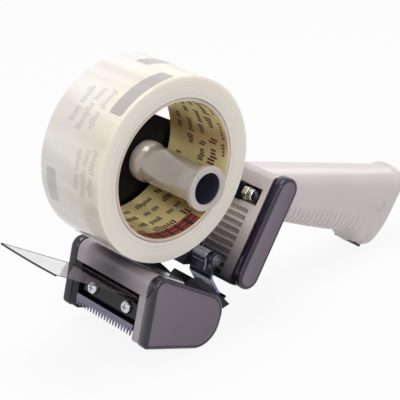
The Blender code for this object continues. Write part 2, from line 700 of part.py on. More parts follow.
def make_block(carrier):
    """Cast block with the slot, the ribs between their grooves, and its screw holes."""
    block = edged_prism("body_block", block_corners(), BLOCK_NEAR_Y, BLOCK_FAR_Y, BLOCK_EDGE,
                        carrier)
    cuts = bmesh.new()
    add_leaning_box(cuts, SLOT_TOP, SLOT_TOP - SLOT_HEIGHT, OVERRUN, SLOT_DEPTH,
                    SLOT_NEAR_Y, SLOT_FAR_Y)
    groove = RIB_PITCH - RIB_THICKNESS
    for number in range(RIB_COUNT):
        top = RIB_TOP_Z - RIB_THICKNESS - number * RIB_PITCH
        add_leaning_box(cuts, top, top - groove, OVERRUN, RIB_DEPTH, RIB_NEAR_Y, RIB_FAR_Y)
    combine(block, finish("block_cuts", cuts, carrier), 'DIFFERENCE')
    cut_round_hole(block, "slot_bolt_hole", SLOT_BOLT_X, SLOT_BOLT_Z, SLOT_BOLT_RADIUS + SEAT_GAP,
                   SLOT_FAR_Y - OVERRUN, SLOT_FAR_Y + SLOT_BOLT_HOLE_DEPTH, carrier)
    for number, (x, z) in enumerate(plate_screw_places()):
        cut_round_hole(block, f"block_screw_hole_{number}", x, z, PLATE_SCREW_RADIUS + SEAT_GAP,
                       PLATE_OUTER_Y - PLATE_SCREW_LENGTH - SEAT_GAP, BLOCK_FAR_Y + OVERRUN,
                       carrier)
    paint(block, GREY, 0.5)


def make_slot_parts(carrier):
    """Dark block on its bolt in the slot, then the nut, the collar and the dome."""
    dome_near = SLOT_NEAR_Y + SEAT_GAP
    collar_near = dome_near + SLOT_DOME_LENGTH + SEAT_GAP
    nut_near = collar_near + SLOT_COLLAR_LENGTH + SEAT_GAP
    nut_far = nut_near + SLOT_NUT_HEIGHT
    block_near = nut_far + SEAT_GAP
    solid = bmesh.new()
    add_leaning_box(solid, SLOT_TOP - SEAT_GAP, SLOT_TOP - SLOT_HEIGHT + SEAT_GAP,
                    SLOT_BLOCK_PROUD, SLOT_DEPTH - SEAT_GAP, block_near, SLOT_FAR_Y - SEAT_GAP)
    slider = finish("slot_block", solid, carrier)
    cut_round_hole(slider, "slot_block_hole", SLOT_BOLT_X, SLOT_BOLT_Z,
                   SLOT_BOLT_RADIUS + SEAT_GAP, block_near - OVERRUN, SLOT_FAR_Y + OVERRUN, carrier)
    paint(slider, BLACK, 0.5)
    bolt_near = dome_near + SLOT_DOME_LENGTH - SLOT_DOME_SOCKET + SEAT_GAP
    bolt_far = SLOT_FAR_Y + SLOT_BOLT_HOLE_DEPTH - SEAT_GAP
    rod = [(0, bolt_near), (SLOT_BOLT_RADIUS, bolt_near), (SLOT_BOLT_RADIUS, bolt_far),
           (0, bolt_far)]
    paint(turned("slot_bolt", rod, SLOT_BOLT_X, SLOT_BOLT_Z, carrier), STEEL, 0.3, 1.0)
    nut = prism("slot_nut", hexagon(SLOT_BOLT_X, SLOT_BOLT_Z, SLOT_NUT_RADIUS), nut_near, nut_far,
                carrier)
    cut_round_hole(nut, "slot_nut_hole", SLOT_BOLT_X, SLOT_BOLT_Z, SLOT_BOLT_RADIUS + SEAT_GAP,
                   nut_near - OVERRUN, nut_far + OVERRUN, carrier)
    paint(nut, STEEL, 0.25, 1.0)
    collar_far = collar_near + SLOT_COLLAR_LENGTH
    bore = SLOT_BOLT_RADIUS + SEAT_GAP
    edge = (SLOT_COLLAR_RADIUS - bore) * COLLAR_EDGE_SHARE
    ring = [
        (bore, collar_near), (SLOT_COLLAR_RADIUS - edge, collar_near),
        (SLOT_COLLAR_RADIUS, collar_near + edge), (SLOT_COLLAR_RADIUS, collar_far - edge),
        (SLOT_COLLAR_RADIUS - edge, collar_far), (bore, collar_far),
    ]
    paint(turned("slot_collar", ring, SLOT_BOLT_X, SLOT_BOLT_Z, carrier), STEEL, 0.15, 1.0)
    dome_far = dome_near + SLOT_DOME_LENGTH
    dome = []
    for step in range(CORNER_STEPS + 1):
        angle = math.pi / 2 * step / CORNER_STEPS
        y = dome_near + SLOT_DOME_LENGTH * DOME_ROUND_SHARE * (1 - math.cos(angle))
        dome.append((SLOT_DOME_RADIUS * math.sin(angle), y))
    dome += [(SLOT_DOME_RADIUS, dome_far), (bore, dome_far), (bore, dome_far - SLOT_DOME_SOCKET),
             (0, dome_far - SLOT_DOME_SOCKET)]
    dome[0] = (0, dome_near)
    paint(turned("slot_dome", dome, SLOT_BOLT_X, SLOT_BOLT_Z, carrier), BLACK, 0.15)


def cap_centre_x(z):
    """X of the middle of the block's end caps at a height."""
    return block_face_x(z) + CAP_CENTRE_SETBACK


def cap_corners():
    """Corners of the end caps: a slim form with round ends, leaning with the block."""
    top = Vector((cap_centre_x(CAP_TOP_Z), CAP_TOP_Z))
    bottom = Vector((cap_centre_x(CAP_BOTTOM_Z), CAP_BOTTOM_Z))
    along = (top - bottom).normalized()
    across = Vector((along.y, -along.x))
    corners = []
    for end, sign in ((top, 1), (bottom, -1)):
        for side in (sign, -sign):
            corner = end + (along * sign - across * side) * CAP_RADIUS
            corners.append((corner.x, corner.y, CAP_RADIUS * CAP_ROUNDNESS_SHARE))
    return corners


def make_shell_cap(name, corners, inner_y, side, carrier):
    """Hollow cover: open towards the tool, with a round outer edge."""
    outer_y = inner_y + side * CAP_THICKNESS
    hollow = rounded(inset(corners, CAP_WALL))
    levels = [(hollow, outer_y - side * CAP_WALL), (hollow, inner_y), (rounded(corners), inner_y)]
    for step in range(CORNER_STEPS):
        angle = math.pi / 2 * step / (CORNER_STEPS - 1)
        depth = CAP_EDGE * (1 - math.sin(angle))
        shrink = CAP_EDGE * (1 - math.cos(angle))
        levels.append((rounded(inset(corners, shrink)), outer_y - side * depth))
    cap = loft(name, levels, carrier)
    paint(cap, PLUM, 0.3)


# The grip

def smooth_table(table, share):
    """Smooth value of each column of a table at a share of its length."""
    keys = np.array([row[0] for row in table])
    values = np.array([row[1:] for row in table])
    slopes = np.gradient(values, keys, axis=0)
    index = int(np.clip(np.searchsorted(keys, share) - 1, 0, len(keys) - 2))
    step = keys[index + 1] - keys[index]
    t = (share - keys[index]) / step
    rise = (values[index + 1] - values[index]) / step
    limit = 3 * np.abs(rise)
    first = np.clip(slopes[index], -limit, limit)
    second = np.clip(slopes[index + 1], -limit, limit)
    blend = 3 * t ** 2 - 2 * t ** 3
    bend = first * (t ** 3 - 2 * t ** 2 + t) + second * (t ** 3 - t ** 2)
    return values[index] * (1 - blend) + values[index + 1] * blend + step * bend


def grip_section(share, groove):
    """One loop round the grip; a groove pulls in its lower half. Ahead of zero it stays alike."""
    top, bottom, width = smooth_table(GRIP_SHARES, max(share, 0.0))
    z_top = GRIP_TOP - top * GRIP_DROP
    z_bottom = GRIP_TOP - bottom * GRIP_DROP
    middle, half_height = (z_top + z_bottom) / 2, (z_top - z_bottom) / 2
    half_width = GRIP_HALF_WIDTH * width
    lean_left = 1 - max(share, 0.0) * GRIP_LENGTH / GRIP_LEAN_RUN
    lean = BLOCK_LEAN_SHARE * max(0.0, lean_left)
    loop = []
    for step in range(GRIP_POINTS):
        angle = 2 * math.pi * step / GRIP_POINTS
        c, s = math.cos(angle), math.sin(angle)
        fade = min(max(2 * (RIDGE_FADE_SHARE - s) / (1 + RIDGE_FADE_SHARE), 0.0), 1.0)
        pull = groove * fade
        power = GRIP_ROUNDNESS_SHARE
        y = (half_width - pull) * math.copysign(abs(c) ** power, c)
        z = middle + (half_height - pull) * math.copysign(abs(s) ** power, s)
        x = GRIP_START_X + share * GRIP_LENGTH + lean * (z - GRIP_LEAN_MID_Z)
        loop.append((x, y, z))
    return loop


def grip_stations():
    """Shares along the grip where it has a section, each with its groove depth."""
    pitch = RIDGE_PITCH / GRIP_LENGTH
    stations = [(-GRIP_OVER_BLOCK / GRIP_LENGTH, 0.0), (0.0, 0.0), (RIDGE_START_SHARE / 2, 0.0)]
    for number in range(RIDGE_COUNT):
        start = RIDGE_START_SHARE + number * pitch
        stations += [(start, 0.0), (start + pitch / 2, RIDGE_DEPTH)]
    end = RIDGE_START_SHARE + RIDGE_COUNT * pitch
    stations.append((end, 0.0))
    for number in range(1, GRIP_PLAIN_SECTIONS + 1):
        left = (1 - number / GRIP_PLAIN_SECTIONS) ** BUTT_CROWDING_SHARE
        stations.append((1 - (1 - end) * left, 0.0))
    return stations


def grip_bottom_point(shares):
    """Point of the grip's side outline from its place and drop shares."""
    return Vector((GRIP_START_X + shares[0] * GRIP_LENGTH, GRIP_TOP - shares[1] * GRIP_DROP))


def plug_section(depth, margin):
    """Slanting strip along the butt's underside, from a line below it to a depth inside it."""
    start, end = grip_bottom_point(PLUG_START_SHARES), grip_bottom_point(PLUG_END_SHARES)
    along = (end - start).normalized()
    inward = Vector((-along.y, along.x))
    start, end = start - along * margin, end + along * margin
    outside = PLUG_PROUD if margin == 0 else OVERRUN
    return [start - inward * outside, end - inward * outside, end + inward * depth,
            start + inward * depth]


def make_grip(carrier):
    """Ridged grip that laps over the round back edge of the block, with its plug."""
    solid = bmesh.new()
    add_loft(solid, [grip_section(share, groove) for share, groove in grip_stations()])
    grip = finish("handle", solid, carrier)
    seat = prism("grip_seat", rounded(inset(block_corners(), -SEAT_GAP)),
                 -GRIP_HALF_WIDTH - OVERRUN, GRIP_HALF_WIDTH + OVERRUN, carrier)
    combine(grip, seat, 'DIFFERENCE')
    pocket = prism("plug_pocket", plug_section(PLUG_THICKNESS, SEAT_GAP),
                   -PLUG_HALF_WIDTH - SEAT_GAP, PLUG_HALF_WIDTH + SEAT_GAP, carrier)
    combine(grip, pocket, 'DIFFERENCE')
    paint(grip, GREY, 0.4)
    plug = prism("butt_plug", plug_section(PLUG_THICKNESS - SEAT_GAP, 0),
                 -PLUG_HALF_WIDTH, PLUG_HALF_WIDTH, carrier)
    paint(plug, BLACK, 0.5)


# The pivot of the head

def make_pivot_bar(carrier):
    """Bar from the side plate along the block's face, bored for the pin."""
    top, bottom = PIVOT_Z + PIVOT_BAR_ABOVE, PIVOT_Z - PIVOT_BAR_BELOW
    back_top, back_bottom = block_face_x(top) - SEAT_GAP, block_face_x(bottom) - SEAT_GAP
    front_top, front_bottom = back_top - PIVOT_BAR_DEPTH, back_bottom - PIVOT_BAR_DEPTH
    step = PIVOT_BAR_GROOVE
    outline = [
        (back_top, top), (back_bottom, bottom), (front_bottom + step, bottom),
        (front_bottom, bottom + step), (front_bottom, bottom + 2 * step),
        (front_bottom + step, bottom + 3 * step), (front_top + step, top - 2 * step),
        (front_top, top - step), (front_top + step, top),
    ]
    bar = prism("pivot_bar", outline, PIVOT_BAR_NEAR_Y, PLATE_INNER_Y - SEAT_GAP, carrier)
    cut_round_hole(bar, "pivot_bar_bore", PIVOT_X, PIVOT_Z, PIVOT_PIN_RADIUS + SEAT_GAP,
                   PIVOT_BAR_NEAR_Y - OVERRUN, PLATE_INNER_Y + OVERRUN, carrier)
    paint(bar, DARK_GREY, 0.45, 0.5)


def make_pivot_pin(carrier):
    """Headed pin through the plate, the bar and the strap's ears, with its clip."""
    head = PLATE_OUTER_Y + SEAT_GAP
    groove_far = STRAP_NEAR_Y - SEAT_GAP
    groove_near = groove_far - PIVOT_CLIP_THICKNESS - SEAT_GAP
    neck = PIVOT_PIN_RADIUS - PIVOT_GROOVE_DEPTH
    end = groove_near - PIVOT_CLIP_THICKNESS
    pin = [
        (0, end), (PIVOT_PIN_RADIUS, end), (PIVOT_PIN_RADIUS, groove_near), (neck, groove_near),
        (neck, groove_far), (PIVOT_PIN_RADIUS, groove_far), (PIVOT_PIN_RADIUS, head),
        (PIVOT_HEAD_RADIUS, head), (PIVOT_HEAD_RADIUS, head + PIVOT_HEAD_HEIGHT),
        (0, head + PIVOT_HEAD_HEIGHT),
    ]
    paint(turned("pivot_pin", pin, PIVOT_X, PIVOT_Z, carrier), STEEL, 0.25, 1.0)
    hole = neck + SEAT_GAP / 2
    clip_near, clip_far = groove_near + SEAT_GAP / 2, groove_far - SEAT_GAP / 2
    clip = [(hole, clip_near), (PIVOT_CLIP_RADIUS, clip_near), (PIVOT_CLIP_RADIUS, clip_far),
            (hole, clip_far)]
    paint(turned("pivot_clip", clip, PIVOT_X, PIVOT_Z, carrier), STEEL, 0.3, 1.0)


def make_spring(carrier):
    """Coil round the pin, one leg up the block's face and one down the strap."""
    ear = STRAP_THICKNESS + SEAT_GAP + SPRING_WIRE_RADIUS
    y_far = PIVOT_BAR_NEAR_Y - RUN_GAP - ear
    y_near = STRAP_NEAR_Y + ear
    points = []
    for step in range(SPRING_LEG_STEPS):
        reach = SPRING_LEG * (1 - step / SPRING_LEG_STEPS)
        points.append((PIVOT_X + SPRING_COIL_RADIUS, y_far, PIVOT_Z + reach))
    count = SPRING_TURNS * SPRING_POINTS_PER_TURN
    for step in range(count + 1):
        angle = 2 * math.pi * step / SPRING_POINTS_PER_TURN
        y = y_far + (y_near - y_far) * step / count
        points.append((PIVOT_X + SPRING_COIL_RADIUS * math.cos(angle), y,
                       PIVOT_Z - SPRING_COIL_RADIUS * math.sin(angle)))
    points = points[:-SPRING_POINTS_PER_TURN // 2]
    last = points[-1]
    for step in range(1, SPRING_LEG_STEPS + 1):
        points.append((last[0], last[1], last[2] - SPRING_LEG * step / SPRING_LEG_STEPS))
    curve = bpy.data.curves.new("torsion_spring", 'CURVE')
    curve.dimensions = '3D'
    curve.bevel_depth = SPRING_WIRE_RADIUS
    curve.bevel_resolution = 1
    curve.use_fill_caps = True
    spline = curve.splines.new('POLY')
    spline.points.add(len(points) - 1)
    for target, point in zip(spline.points, points):
        target.co = (*point, 1.0)
    item = bpy.data.objects.new("torsion_spring", curve)
    bpy.context.scene.collection.objects.link(item)
    item.parent = carrier
    item.location = -Vector(carrier["axis_place"])
    paint(item, STEEL, 0.35, 1.0)


def cross_point(shares):
    """Point of the cross plate's middle line, in shares of the head frame."""
    return Vector((FRAME_LEFT + shares[0] * (FRAME_RIGHT - FRAME_LEFT),
                   FRAME_TOP + shares[1] * (FRAME_BOTTOM - FRAME_TOP)))


def cross_directions():
    """Direction down the cross plate and the normal of its front."""
    down = (cross_point(CROSS_BOTTOM_SHARES) - cross_point(CROSS_TOP_SHARES)).normalized()
    return down, Vector((down.y, -down.x))


def strap_path():
    """Middle line of the strap: leg below the pivot, then back to the cross plate's front."""
    leg_x = PIVOT_X + STRAP_LEG_OFFSET
    down, front = cross_directions()
    seat = cross_point(CROSS_TOP_SHARES) + down * (FRAME_SHEET * STRAP_BEND_SHARE)
    knee = seat + front * ((FRAME_SHEET + STRAP_THICKNESS) / 2 + SEAT_GAP)
    corners = [
        Vector((leg_x, PIVOT_Z - STRAP_LEG_TOP)),
        Vector((leg_x - STRAP_LEG_OFFSET, PIVOT_Z - STRAP_LEG_BOTTOM)),
        knee, knee + down * STRAP_FOOT,
    ]
    path = [corners[0]]
    for before, corner, after in zip(corners, corners[1:], corners[2:]):
        first = corner + (before - corner).normalized() * (STRAP_THICKNESS * STRAP_BEND_SHARE)
        second = corner + (after - corner).normalized() * (STRAP_THICKNESS * STRAP_BEND_SHARE)
        for step in range(STRAP_BEND_STEPS + 1):
            t = step / STRAP_BEND_STEPS
            path.append(first * (1 - t) ** 2 + corner * (2 * t * (1 - t)) + second * t ** 2)
    path.append(corners[-1])
    return path


def rivet_places():
    """Middle of each rivet between strap and cross plate, and the way its axis turns."""
    down, front = cross_directions()
    drop = FRAME_SHEET * STRAP_BEND_SHARE + STRAP_FOOT * RIVET_PLACE_SHARE
    middle = cross_point(CROSS_TOP_SHARES) + down * drop
    middle_y = (STRAP_NEAR_Y + PIVOT_BAR_NEAR_Y - RUN_GAP) / 2
    front_axis = Vector((front.x, 0, front.y))
    turn = Vector((0, 1, 0)).rotation_difference(front_axis).to_matrix().to_4x4()
    places = [Vector((middle.x, middle_y + side * RIVET_SPREAD, middle.y)) for side in (-1, 1)]
    return places, turn


def cut_rivet_holes(item, name, carrier):
    """Holes for the rivets, through whatever lies on their axes."""
    places, turn = rivet_places()
    reach = FRAME_SHEET + STRAP_THICKNESS + OVERRUN / 2
    radius = RIVET_RADIUS + SEAT_GAP
    solid = bmesh.new()
    for place in places:
        add_turned(solid, [(0, -reach), (radius, -reach), (radius, reach), (0, reach)], place, turn)
    combine(item, finish(name, solid, carrier), 'DIFFERENCE')


def make_strap(carrier):
    """Bent steel strap with two ears on the pivot pin, and its rivets."""
    far_y = PIVOT_BAR_NEAR_Y - RUN_GAP
    strap = prism("pivot_strap", sheet_section(strap_path(), STRAP_THICKNESS), STRAP_NEAR_Y, far_y,
                  carrier)
    leg_x = PIVOT_X + STRAP_LEG_OFFSET
    low = PIVOT_Z - STRAP_LEG_TOP - STRAP_THICKNESS
    round_top = STRAP_EAR_RADIUS * EAR_ROUNDNESS_SHARE
    waist = PIVOT_Z - STRAP_EAR_RADIUS * EAR_LOW_SHARE
    half_leg = STRAP_THICKNESS * EAR_LOW_SHARE
    ear = rounded([
        (PIVOT_X - STRAP_EAR_RADIUS, PIVOT_Z + STRAP_EAR_RADIUS, round_top),
        (PIVOT_X + STRAP_EAR_RADIUS, PIVOT_Z + STRAP_EAR_RADIUS, round_top),
        (PIVOT_X + round_top, waist, STRAP_THICKNESS),
        (leg_x + half_leg, low, 0), (leg_x - half_leg, low, 0),
        (PIVOT_X - STRAP_EAR_RADIUS, waist, STRAP_THICKNESS),
    ])
    for name, y0 in (("strap_ear_near", STRAP_NEAR_Y), ("strap_ear_far", far_y - STRAP_THICKNESS)):
        lug = prism(name, ear, y0, y0 + STRAP_THICKNESS, carrier)
        cut_round_hole(lug, name + "_bore", PIVOT_X, PIVOT_Z, PIVOT_PIN_RADIUS + SEAT_GAP,
                       y0 - OVERRUN, y0 + OVERRUN, carrier)
        combine(strap, lug, 'UNION')
    cut_rivet_holes(strap, "strap_rivet_holes", carrier)
    paint(strap, STEEL, 0.3, 1.0)
    places, turn = rivet_places()
    grip_back = FRAME_SHEET / 2 + SEAT_GAP
    grip_front = grip_back + STRAP_THICKNESS + SEAT_GAP
    profile = [
        (0, -grip_back - RIVET_HEAD_HEIGHT),
        (RIVET_HEAD_RADIUS * HEAD_CROWN_SHARE, -grip_back - RIVET_HEAD_HEIGHT),
        (RIVET_HEAD_RADIUS, -grip_back), (RIVET_RADIUS, -grip_back), (RIVET_RADIUS, grip_front),
        (RIVET_HEAD_RADIUS, grip_front),
        (RIVET_HEAD_RADIUS * HEAD_CROWN_SHARE, grip_front + RIVET_HEAD_HEIGHT),
        (0, grip_front + RIVET_HEAD_HEIGHT),
    ]
    for name, place in zip(("strap_rivet_near", "strap_rivet_far"), places):
        rivet = bmesh.new()
        add_turned(rivet, profile, place, turn)
        paint(finish(name, rivet, carrier), STEEL, 0.3, 1.0)


# The head

def head_corners():
    """Corners of the head's side covers, with the roof just under the tape at the nose's end."""
    corners = placed_corners(HEAD_CORNER_SHARES, HEAD_FRONT, HEAD_TOP, HEAD_LENGTH, HEAD_HEIGHT,
                             HEAD_HEIGHT)
    start, end = web_path()[:2]
    nose_x = head_x(NOSE_LENGTH_SHARE)
    tape_z = start.y + (end.y - start.y) * (nose_x - start.x) / (end.x - start.x)
    roof_z = tape_z - TAPE_THICKNESS / 2 - NOSE_TAPE_GAP + HEAD_INSET
    (front_x, _, radius), (back_x, back_z, _) = corners[:2]
    slope = (roof_z - back_z) / (nose_x - back_x)
    return [(front_x, back_z + slope * (front_x - back_x), radius)] + corners[1:]


def head_skin_arcs():
    """Corner arcs of the housing's inner outline: nose, rear, heel and toe."""
    points = [Vector(point) for point in rounded(inset(head_corners(), HEAD_INSET + HEAD_SKIN))]
    count = CORNER_STEPS + 1
    return [points[first:first + count] for first in range(0, len(points), count)]


def heel_step():
    """Point above the heel's arc where the open back of the housing ends."""
    _, rear, heel, _ = head_skin_arcs()
    return heel[0].lerp(rear[-1], HEEL_STEP_SHARE)


def cavity_outline():
    """Space between the head's walls: open in front, above behind the nose, behind and below."""
    front_outside = HEAD_FRONT - OVERRUN
    top_outside = head_corners()[0][1] + OVERRUN
    back_outside = head_x(1) + OVERRUN
    bottom_outside = head_z(1) - OVERRUN
    lip_z, step = head_z(LIP_SHARE), heel_step()
    nose_x, floor_x = head_x(NOSE_LENGTH_SHARE), head_x(FLOOR_START_SHARE)
    nose, rear, heel, toe = head_skin_arcs()
    slope = (rear[0].y - nose[-1].y) / (rear[0].x - nose[-1].x)
    floor_slope = (heel[-1].y - toe[0].y) / (heel[-1].x - toe[0].x)
    points = [Vector((front_outside, lip_z)), Vector((nose[0].x, lip_z))]
    points += nose
    points.append(Vector((nose_x, nose[-1].y + slope * (nose_x - nose[-1].x))))
    points += [Vector((nose_x, top_outside)), Vector((back_outside, top_outside)),
               Vector((back_outside, step.y)), step]
    points += heel
    points += [Vector((floor_x, heel[-1].y + floor_slope * (floor_x - heel[-1].x))),
               Vector((floor_x, bottom_outside)), Vector((front_outside, bottom_outside))]
    return points


def make_housing(carrier):
    """Cast housing: two walls, the nose over the slit, and the heel with its floor."""
    corners = inset(head_corners(), HEAD_INSET)
    housing = prism("head_housing", rounded(corners), -HEAD_HALF_WIDTH, HEAD_HALF_WIDTH, carrier)
    cavity = prism("head_cavity", cavity_outline(), -HEAD_WALL_INNER_Y, HEAD_WALL_INNER_Y, carrier)
    combine(housing, cavity, 'DIFFERENCE')
    pocket_x, back = head_x(POCKET_START_SHARE), head_x(1) + OVERRUN
    top, floor = head_corners()[0][1] + OVERRUN, FRAME_BOTTOM - SEAT_GAP
    step = heel_step()
    pocket_outline = [
        (pocket_x, top), (back, top), (back, step.y), (step.x, step.y),
        (FRAME_LEFT + POCKET_FLOOR_SHARE * (FRAME_RIGHT - FRAME_LEFT), floor), (pocket_x, floor),
    ]
    pocket = prism("head_pocket", pocket_outline, -HEAD_POCKET_Y, HEAD_POCKET_Y, carrier)
    combine(housing, pocket, 'DIFFERENCE')
    cut_round_hole(housing, "housing_axle_hole", ROLLER_X, ROLLER_Z, AXLE_RADIUS + SEAT_GAP,
                   -HEAD_HALF_WIDTH - OVERRUN, HEAD_HALF_WIDTH + OVERRUN, carrier)
    paint(housing, GREY, 0.4)


def cross_plate(carrier):
    """Sheet between the flanges, narrower above its notches."""
    top, bottom = cross_point(CROSS_TOP_SHARES), cross_point(CROSS_BOTTOM_SHARES)
    notch = top.lerp(bottom, CROSS_NOTCH_SHARE)
    front = cross_directions()[1]
    narrow, wide = CROSS_TOP_HALF_WIDTH, (FRAME_INNER_Y + FRAME_OUTER_Y) / 2
    outline = [(-narrow, top), (narrow, top), (narrow, notch), (wide, notch), (wide, bottom),
               (-wide, bottom), (-wide, notch), (-narrow, notch)]
    solid = bmesh.new()
    loops = []
    for side in (-1, 1):
        offset = front * (side * FRAME_SHEET / 2)
        loops.append([(p.x + offset.x, y, p.y + offset.y) for y, p in outline])
    add_loft(solid, loops)
    return finish("cross_plate", solid, carrier)


def make_head_frame(carrier):
    """Black sheet steel frame: two flanges joined by the notched cross plate at the back."""
    length = FRAME_RIGHT - FRAME_LEFT
    corners = placed_corners(FRAME_CORNER_SHARES, FRAME_LEFT, FRAME_TOP, length,
                             FRAME_TOP - FRAME_BOTTOM, length)
    outline = rounded(corners)
    frame = prism("head_frame", outline, -FRAME_OUTER_Y, -FRAME_INNER_Y, carrier)
    combine(frame, prism("far_flange", outline, FRAME_INNER_Y, FRAME_OUTER_Y, carrier), 'UNION')
    combine(frame, cross_plate(carrier), 'UNION')
    cut_round_hole(frame, "frame_axle_hole", ROLLER_X, ROLLER_Z, AXLE_RADIUS + SEAT_GAP,
                   -FRAME_OUTER_Y - OVERRUN, FRAME_OUTER_Y + OVERRUN, carrier)
    cut_rivet_holes(frame, "frame_rivet_holes", carrier)
    paint(frame, BLACK, 0.4, 0.5)


def blade_path():
    """Middle line of the blade: flat behind the clamp bar, ledge forwards, then down."""
    x_back = SUPPORT_FRONT_X - SEAT_GAP - BLADE_THICKNESS / 2
    x_front = x_back - BLADE_REACH
    ledge_back, ledge_front = BLADE_LEDGE_Z, BLADE_LEDGE_Z - BLADE_THICKNESS
    return [Vector((x_back, BLADE_TOP)), Vector((x_back, ledge_back)),
            Vector((x_front, ledge_front)), Vector((x_front, BLADE_TIP_Z))]


def blade_screw_places():
    """Places of the two screws of the clamp bar."""
    return [Vector((0, side * BLADE_SCREW_Y, BLADE_SCREW_Z)) for side in (-1, 1)]


def cut_screw_holes(item, name, x0, x1, carrier):
    """Holes along X for the screws of the clamp bar."""
    turn = Matrix.Rotation(-math.pi / 2, 4, 'Z')
    radius = BLADE_SCREW_RADIUS + SEAT_GAP
    solid = bmesh.new()
    for place in blade_screw_places():
        add_turned(solid, [(0, x0), (radius, x0), (radius, x1), (0, x1)], place, turn)
    combine(item, finish(name, solid, carrier), 'DIFFERENCE')


def make_blade(carrier):
    """Bent steel blade with a row of teeth along its lower edge."""
    path = blade_path()
    half = HEAD_WALL_INNER_Y - SEAT_GAP
    blade = prism("blade", sheet_section(path, BLADE_THICKNESS), -half, half, carrier)
    notches = bmesh.new()
    pitch = 2 * half / TOOTH_COUNT
    x_front = path[-1].x
    reach = (pitch - TOOTH_LAND) / 2
    for number in range(TOOTH_COUNT + 1):
        middle = -half + number * pitch
        outline = [(middle - reach, BLADE_TIP_Z), (middle, BLADE_TIP_Z - TOOTH_DEPTH),
                   (middle + reach, BLADE_TIP_Z), (middle, BLADE_TIP_Z + TOOTH_DEPTH)]
        loops = [[(x, y, z) for y, z in outline]
                 for x in (x_front - BLADE_THICKNESS, x_front + BLADE_THICKNESS)]
        add_loft(notches, loops)
    combine(blade, finish("blade_notches", notches, carrier), 'DIFFERENCE')
    cut_screw_holes(blade, "blade_screw_holes", path[0].x - BLADE_THICKNESS,
                    path[0].x + BLADE_THICKNESS, carrier)
    paint(blade, STEEL, 0.25, 1.0)


def make_blade_holder(carrier):
    """Support behind the blade, clamp bar in front of it, and the two screws."""
    half = HEAD_WALL_INNER_Y - SEAT_GAP
    back = SUPPORT_FRONT_X + SUPPORT_DEPTH
    support = edged_prism("blade_support", [
        (SUPPORT_FRONT_X, SUPPORT_TOP, SUPPORT_EDGE / 2), (back, SUPPORT_TOP, SUPPORT_EDGE),
        (back, SUPPORT_BOTTOM, SUPPORT_EDGE), (SUPPORT_FRONT_X, SUPPORT_BOTTOM, SUPPORT_EDGE / 2),
    ], -half, half, SUPPORT_EDGE / 2, carrier)
    cut_screw_holes(support, "support_screw_holes", SUPPORT_FRONT_X - OVERRUN, back + OVERRUN,
                    carrier)
    paint(support, BLACK, 0.5)
    clamp_back = SUPPORT_FRONT_X - 2 * SEAT_GAP - BLADE_THICKNESS
    clamp_front = clamp_back - CLAMP_THICKNESS
    clamp = edged_prism("blade_clamp", [
        (clamp_front, CLAMP_TOP, CLAMP_EDGE), (clamp_back, CLAMP_TOP, CLAMP_EDGE / 2),
        (clamp_back, CLAMP_BOTTOM, CLAMP_EDGE / 2), (clamp_front, CLAMP_BOTTOM, CLAMP_EDGE),
    ], -half, half, CLAMP_EDGE, carrier)
    cut_screw_holes(clamp, "clamp_screw_holes", clamp_front - OVERRUN, clamp_back + OVERRUN, carrier)
    paint(clamp, BLACK, 0.35)
    seat = clamp_front - SEAT_GAP
    top = seat - BLADE_SCREW_HEAD_HEIGHT
    end = SUPPORT_FRONT_X + BLADE_SCREW_LENGTH
    profile = [
        (0, top), (BLADE_SCREW_HEAD_RADIUS * HEAD_CROWN_SHARE, top),
        (BLADE_SCREW_HEAD_RADIUS * HEAD_SHOULDER_SHARES[0],
         top + BLADE_SCREW_HEAD_HEIGHT * HEAD_SHOULDER_SHARES[1]),
        (BLADE_SCREW_HEAD_RADIUS, seat), (BLADE_SCREW_RADIUS, seat), (BLADE_SCREW_RADIUS, end),
        (0, end),
    ]
    turn = Matrix.Rotation(-math.pi / 2, 4, 'Z')
    for name, place in zip(("blade_screw_near", "blade_screw_far"), blade_screw_places()):
        screw = bmesh.new()
        add_turned(screw, profile, place, turn)
        item = finish(name, screw, carrier)
        recess = bmesh.new()
        add_cross_recess(recess, place, top)
        combine(item, finish(name + "_recess", recess, carrier), 'DIFFERENCE')
        paint(item, STEEL, 0.2, 1.0)


def add_cross_recess(solid, place, face_x):
    """Plus-shaped recess in a screw head that faces -X."""
    w, r = RECESS_WIDTH / 2, RECESS_REACH
    outline = [(-w, -r), (w, -r), (w, -w), (r, -w), (r, w), (w, w), (w, r), (-w, r), (-w, w),
               (-r, w), (-r, -w), (-w, -w)]
    loops = [[(x, place.y + y, place.z + z) for y, z in outline]
             for x in (face_x - OVERRUN / 4, face_x + RECESS_DEPTH)]
    add_loft(solid, loops)


def make_roller(carrier, head):
    """Guide roller with a rubber tyre, and the fixed axle that it turns on."""
    half = ROLLER_HALF_LENGTH
    inner, joint = AXLE_RADIUS + SEAT_GAP, ROLLER_RADIUS - ROLLER_TYRE
    core = [(inner, -half), (joint - SEAT_GAP, -half), (joint - SEAT_GAP, half), (inner, half)]
    paint(turned("roller_core", core, ROLLER_X, ROLLER_Z, carrier), GREY, 0.4)
    edge = ROLLER_TYRE / 4
    tyre = [
        (joint, -half), (ROLLER_RADIUS - edge, -half), (ROLLER_RADIUS, -half + edge),
        (ROLLER_RADIUS, half - edge), (ROLLER_RADIUS - edge, half), (joint, half),
    ]
    paint(turned("roller_tyre", tyre, ROLLER_X, ROLLER_Z, carrier, 32), DARK_GREY, 0.8)
    end = HEAD_HALF_WIDTH + AXLE_END_PROUD
    axle = [(0, -end), (AXLE_RADIUS, -end), (AXLE_RADIUS, end), (0, end)]
    paint(turned("roller_axle", axle, ROLLER_X, ROLLER_Z, head), STEEL, 0.3, 1.0)


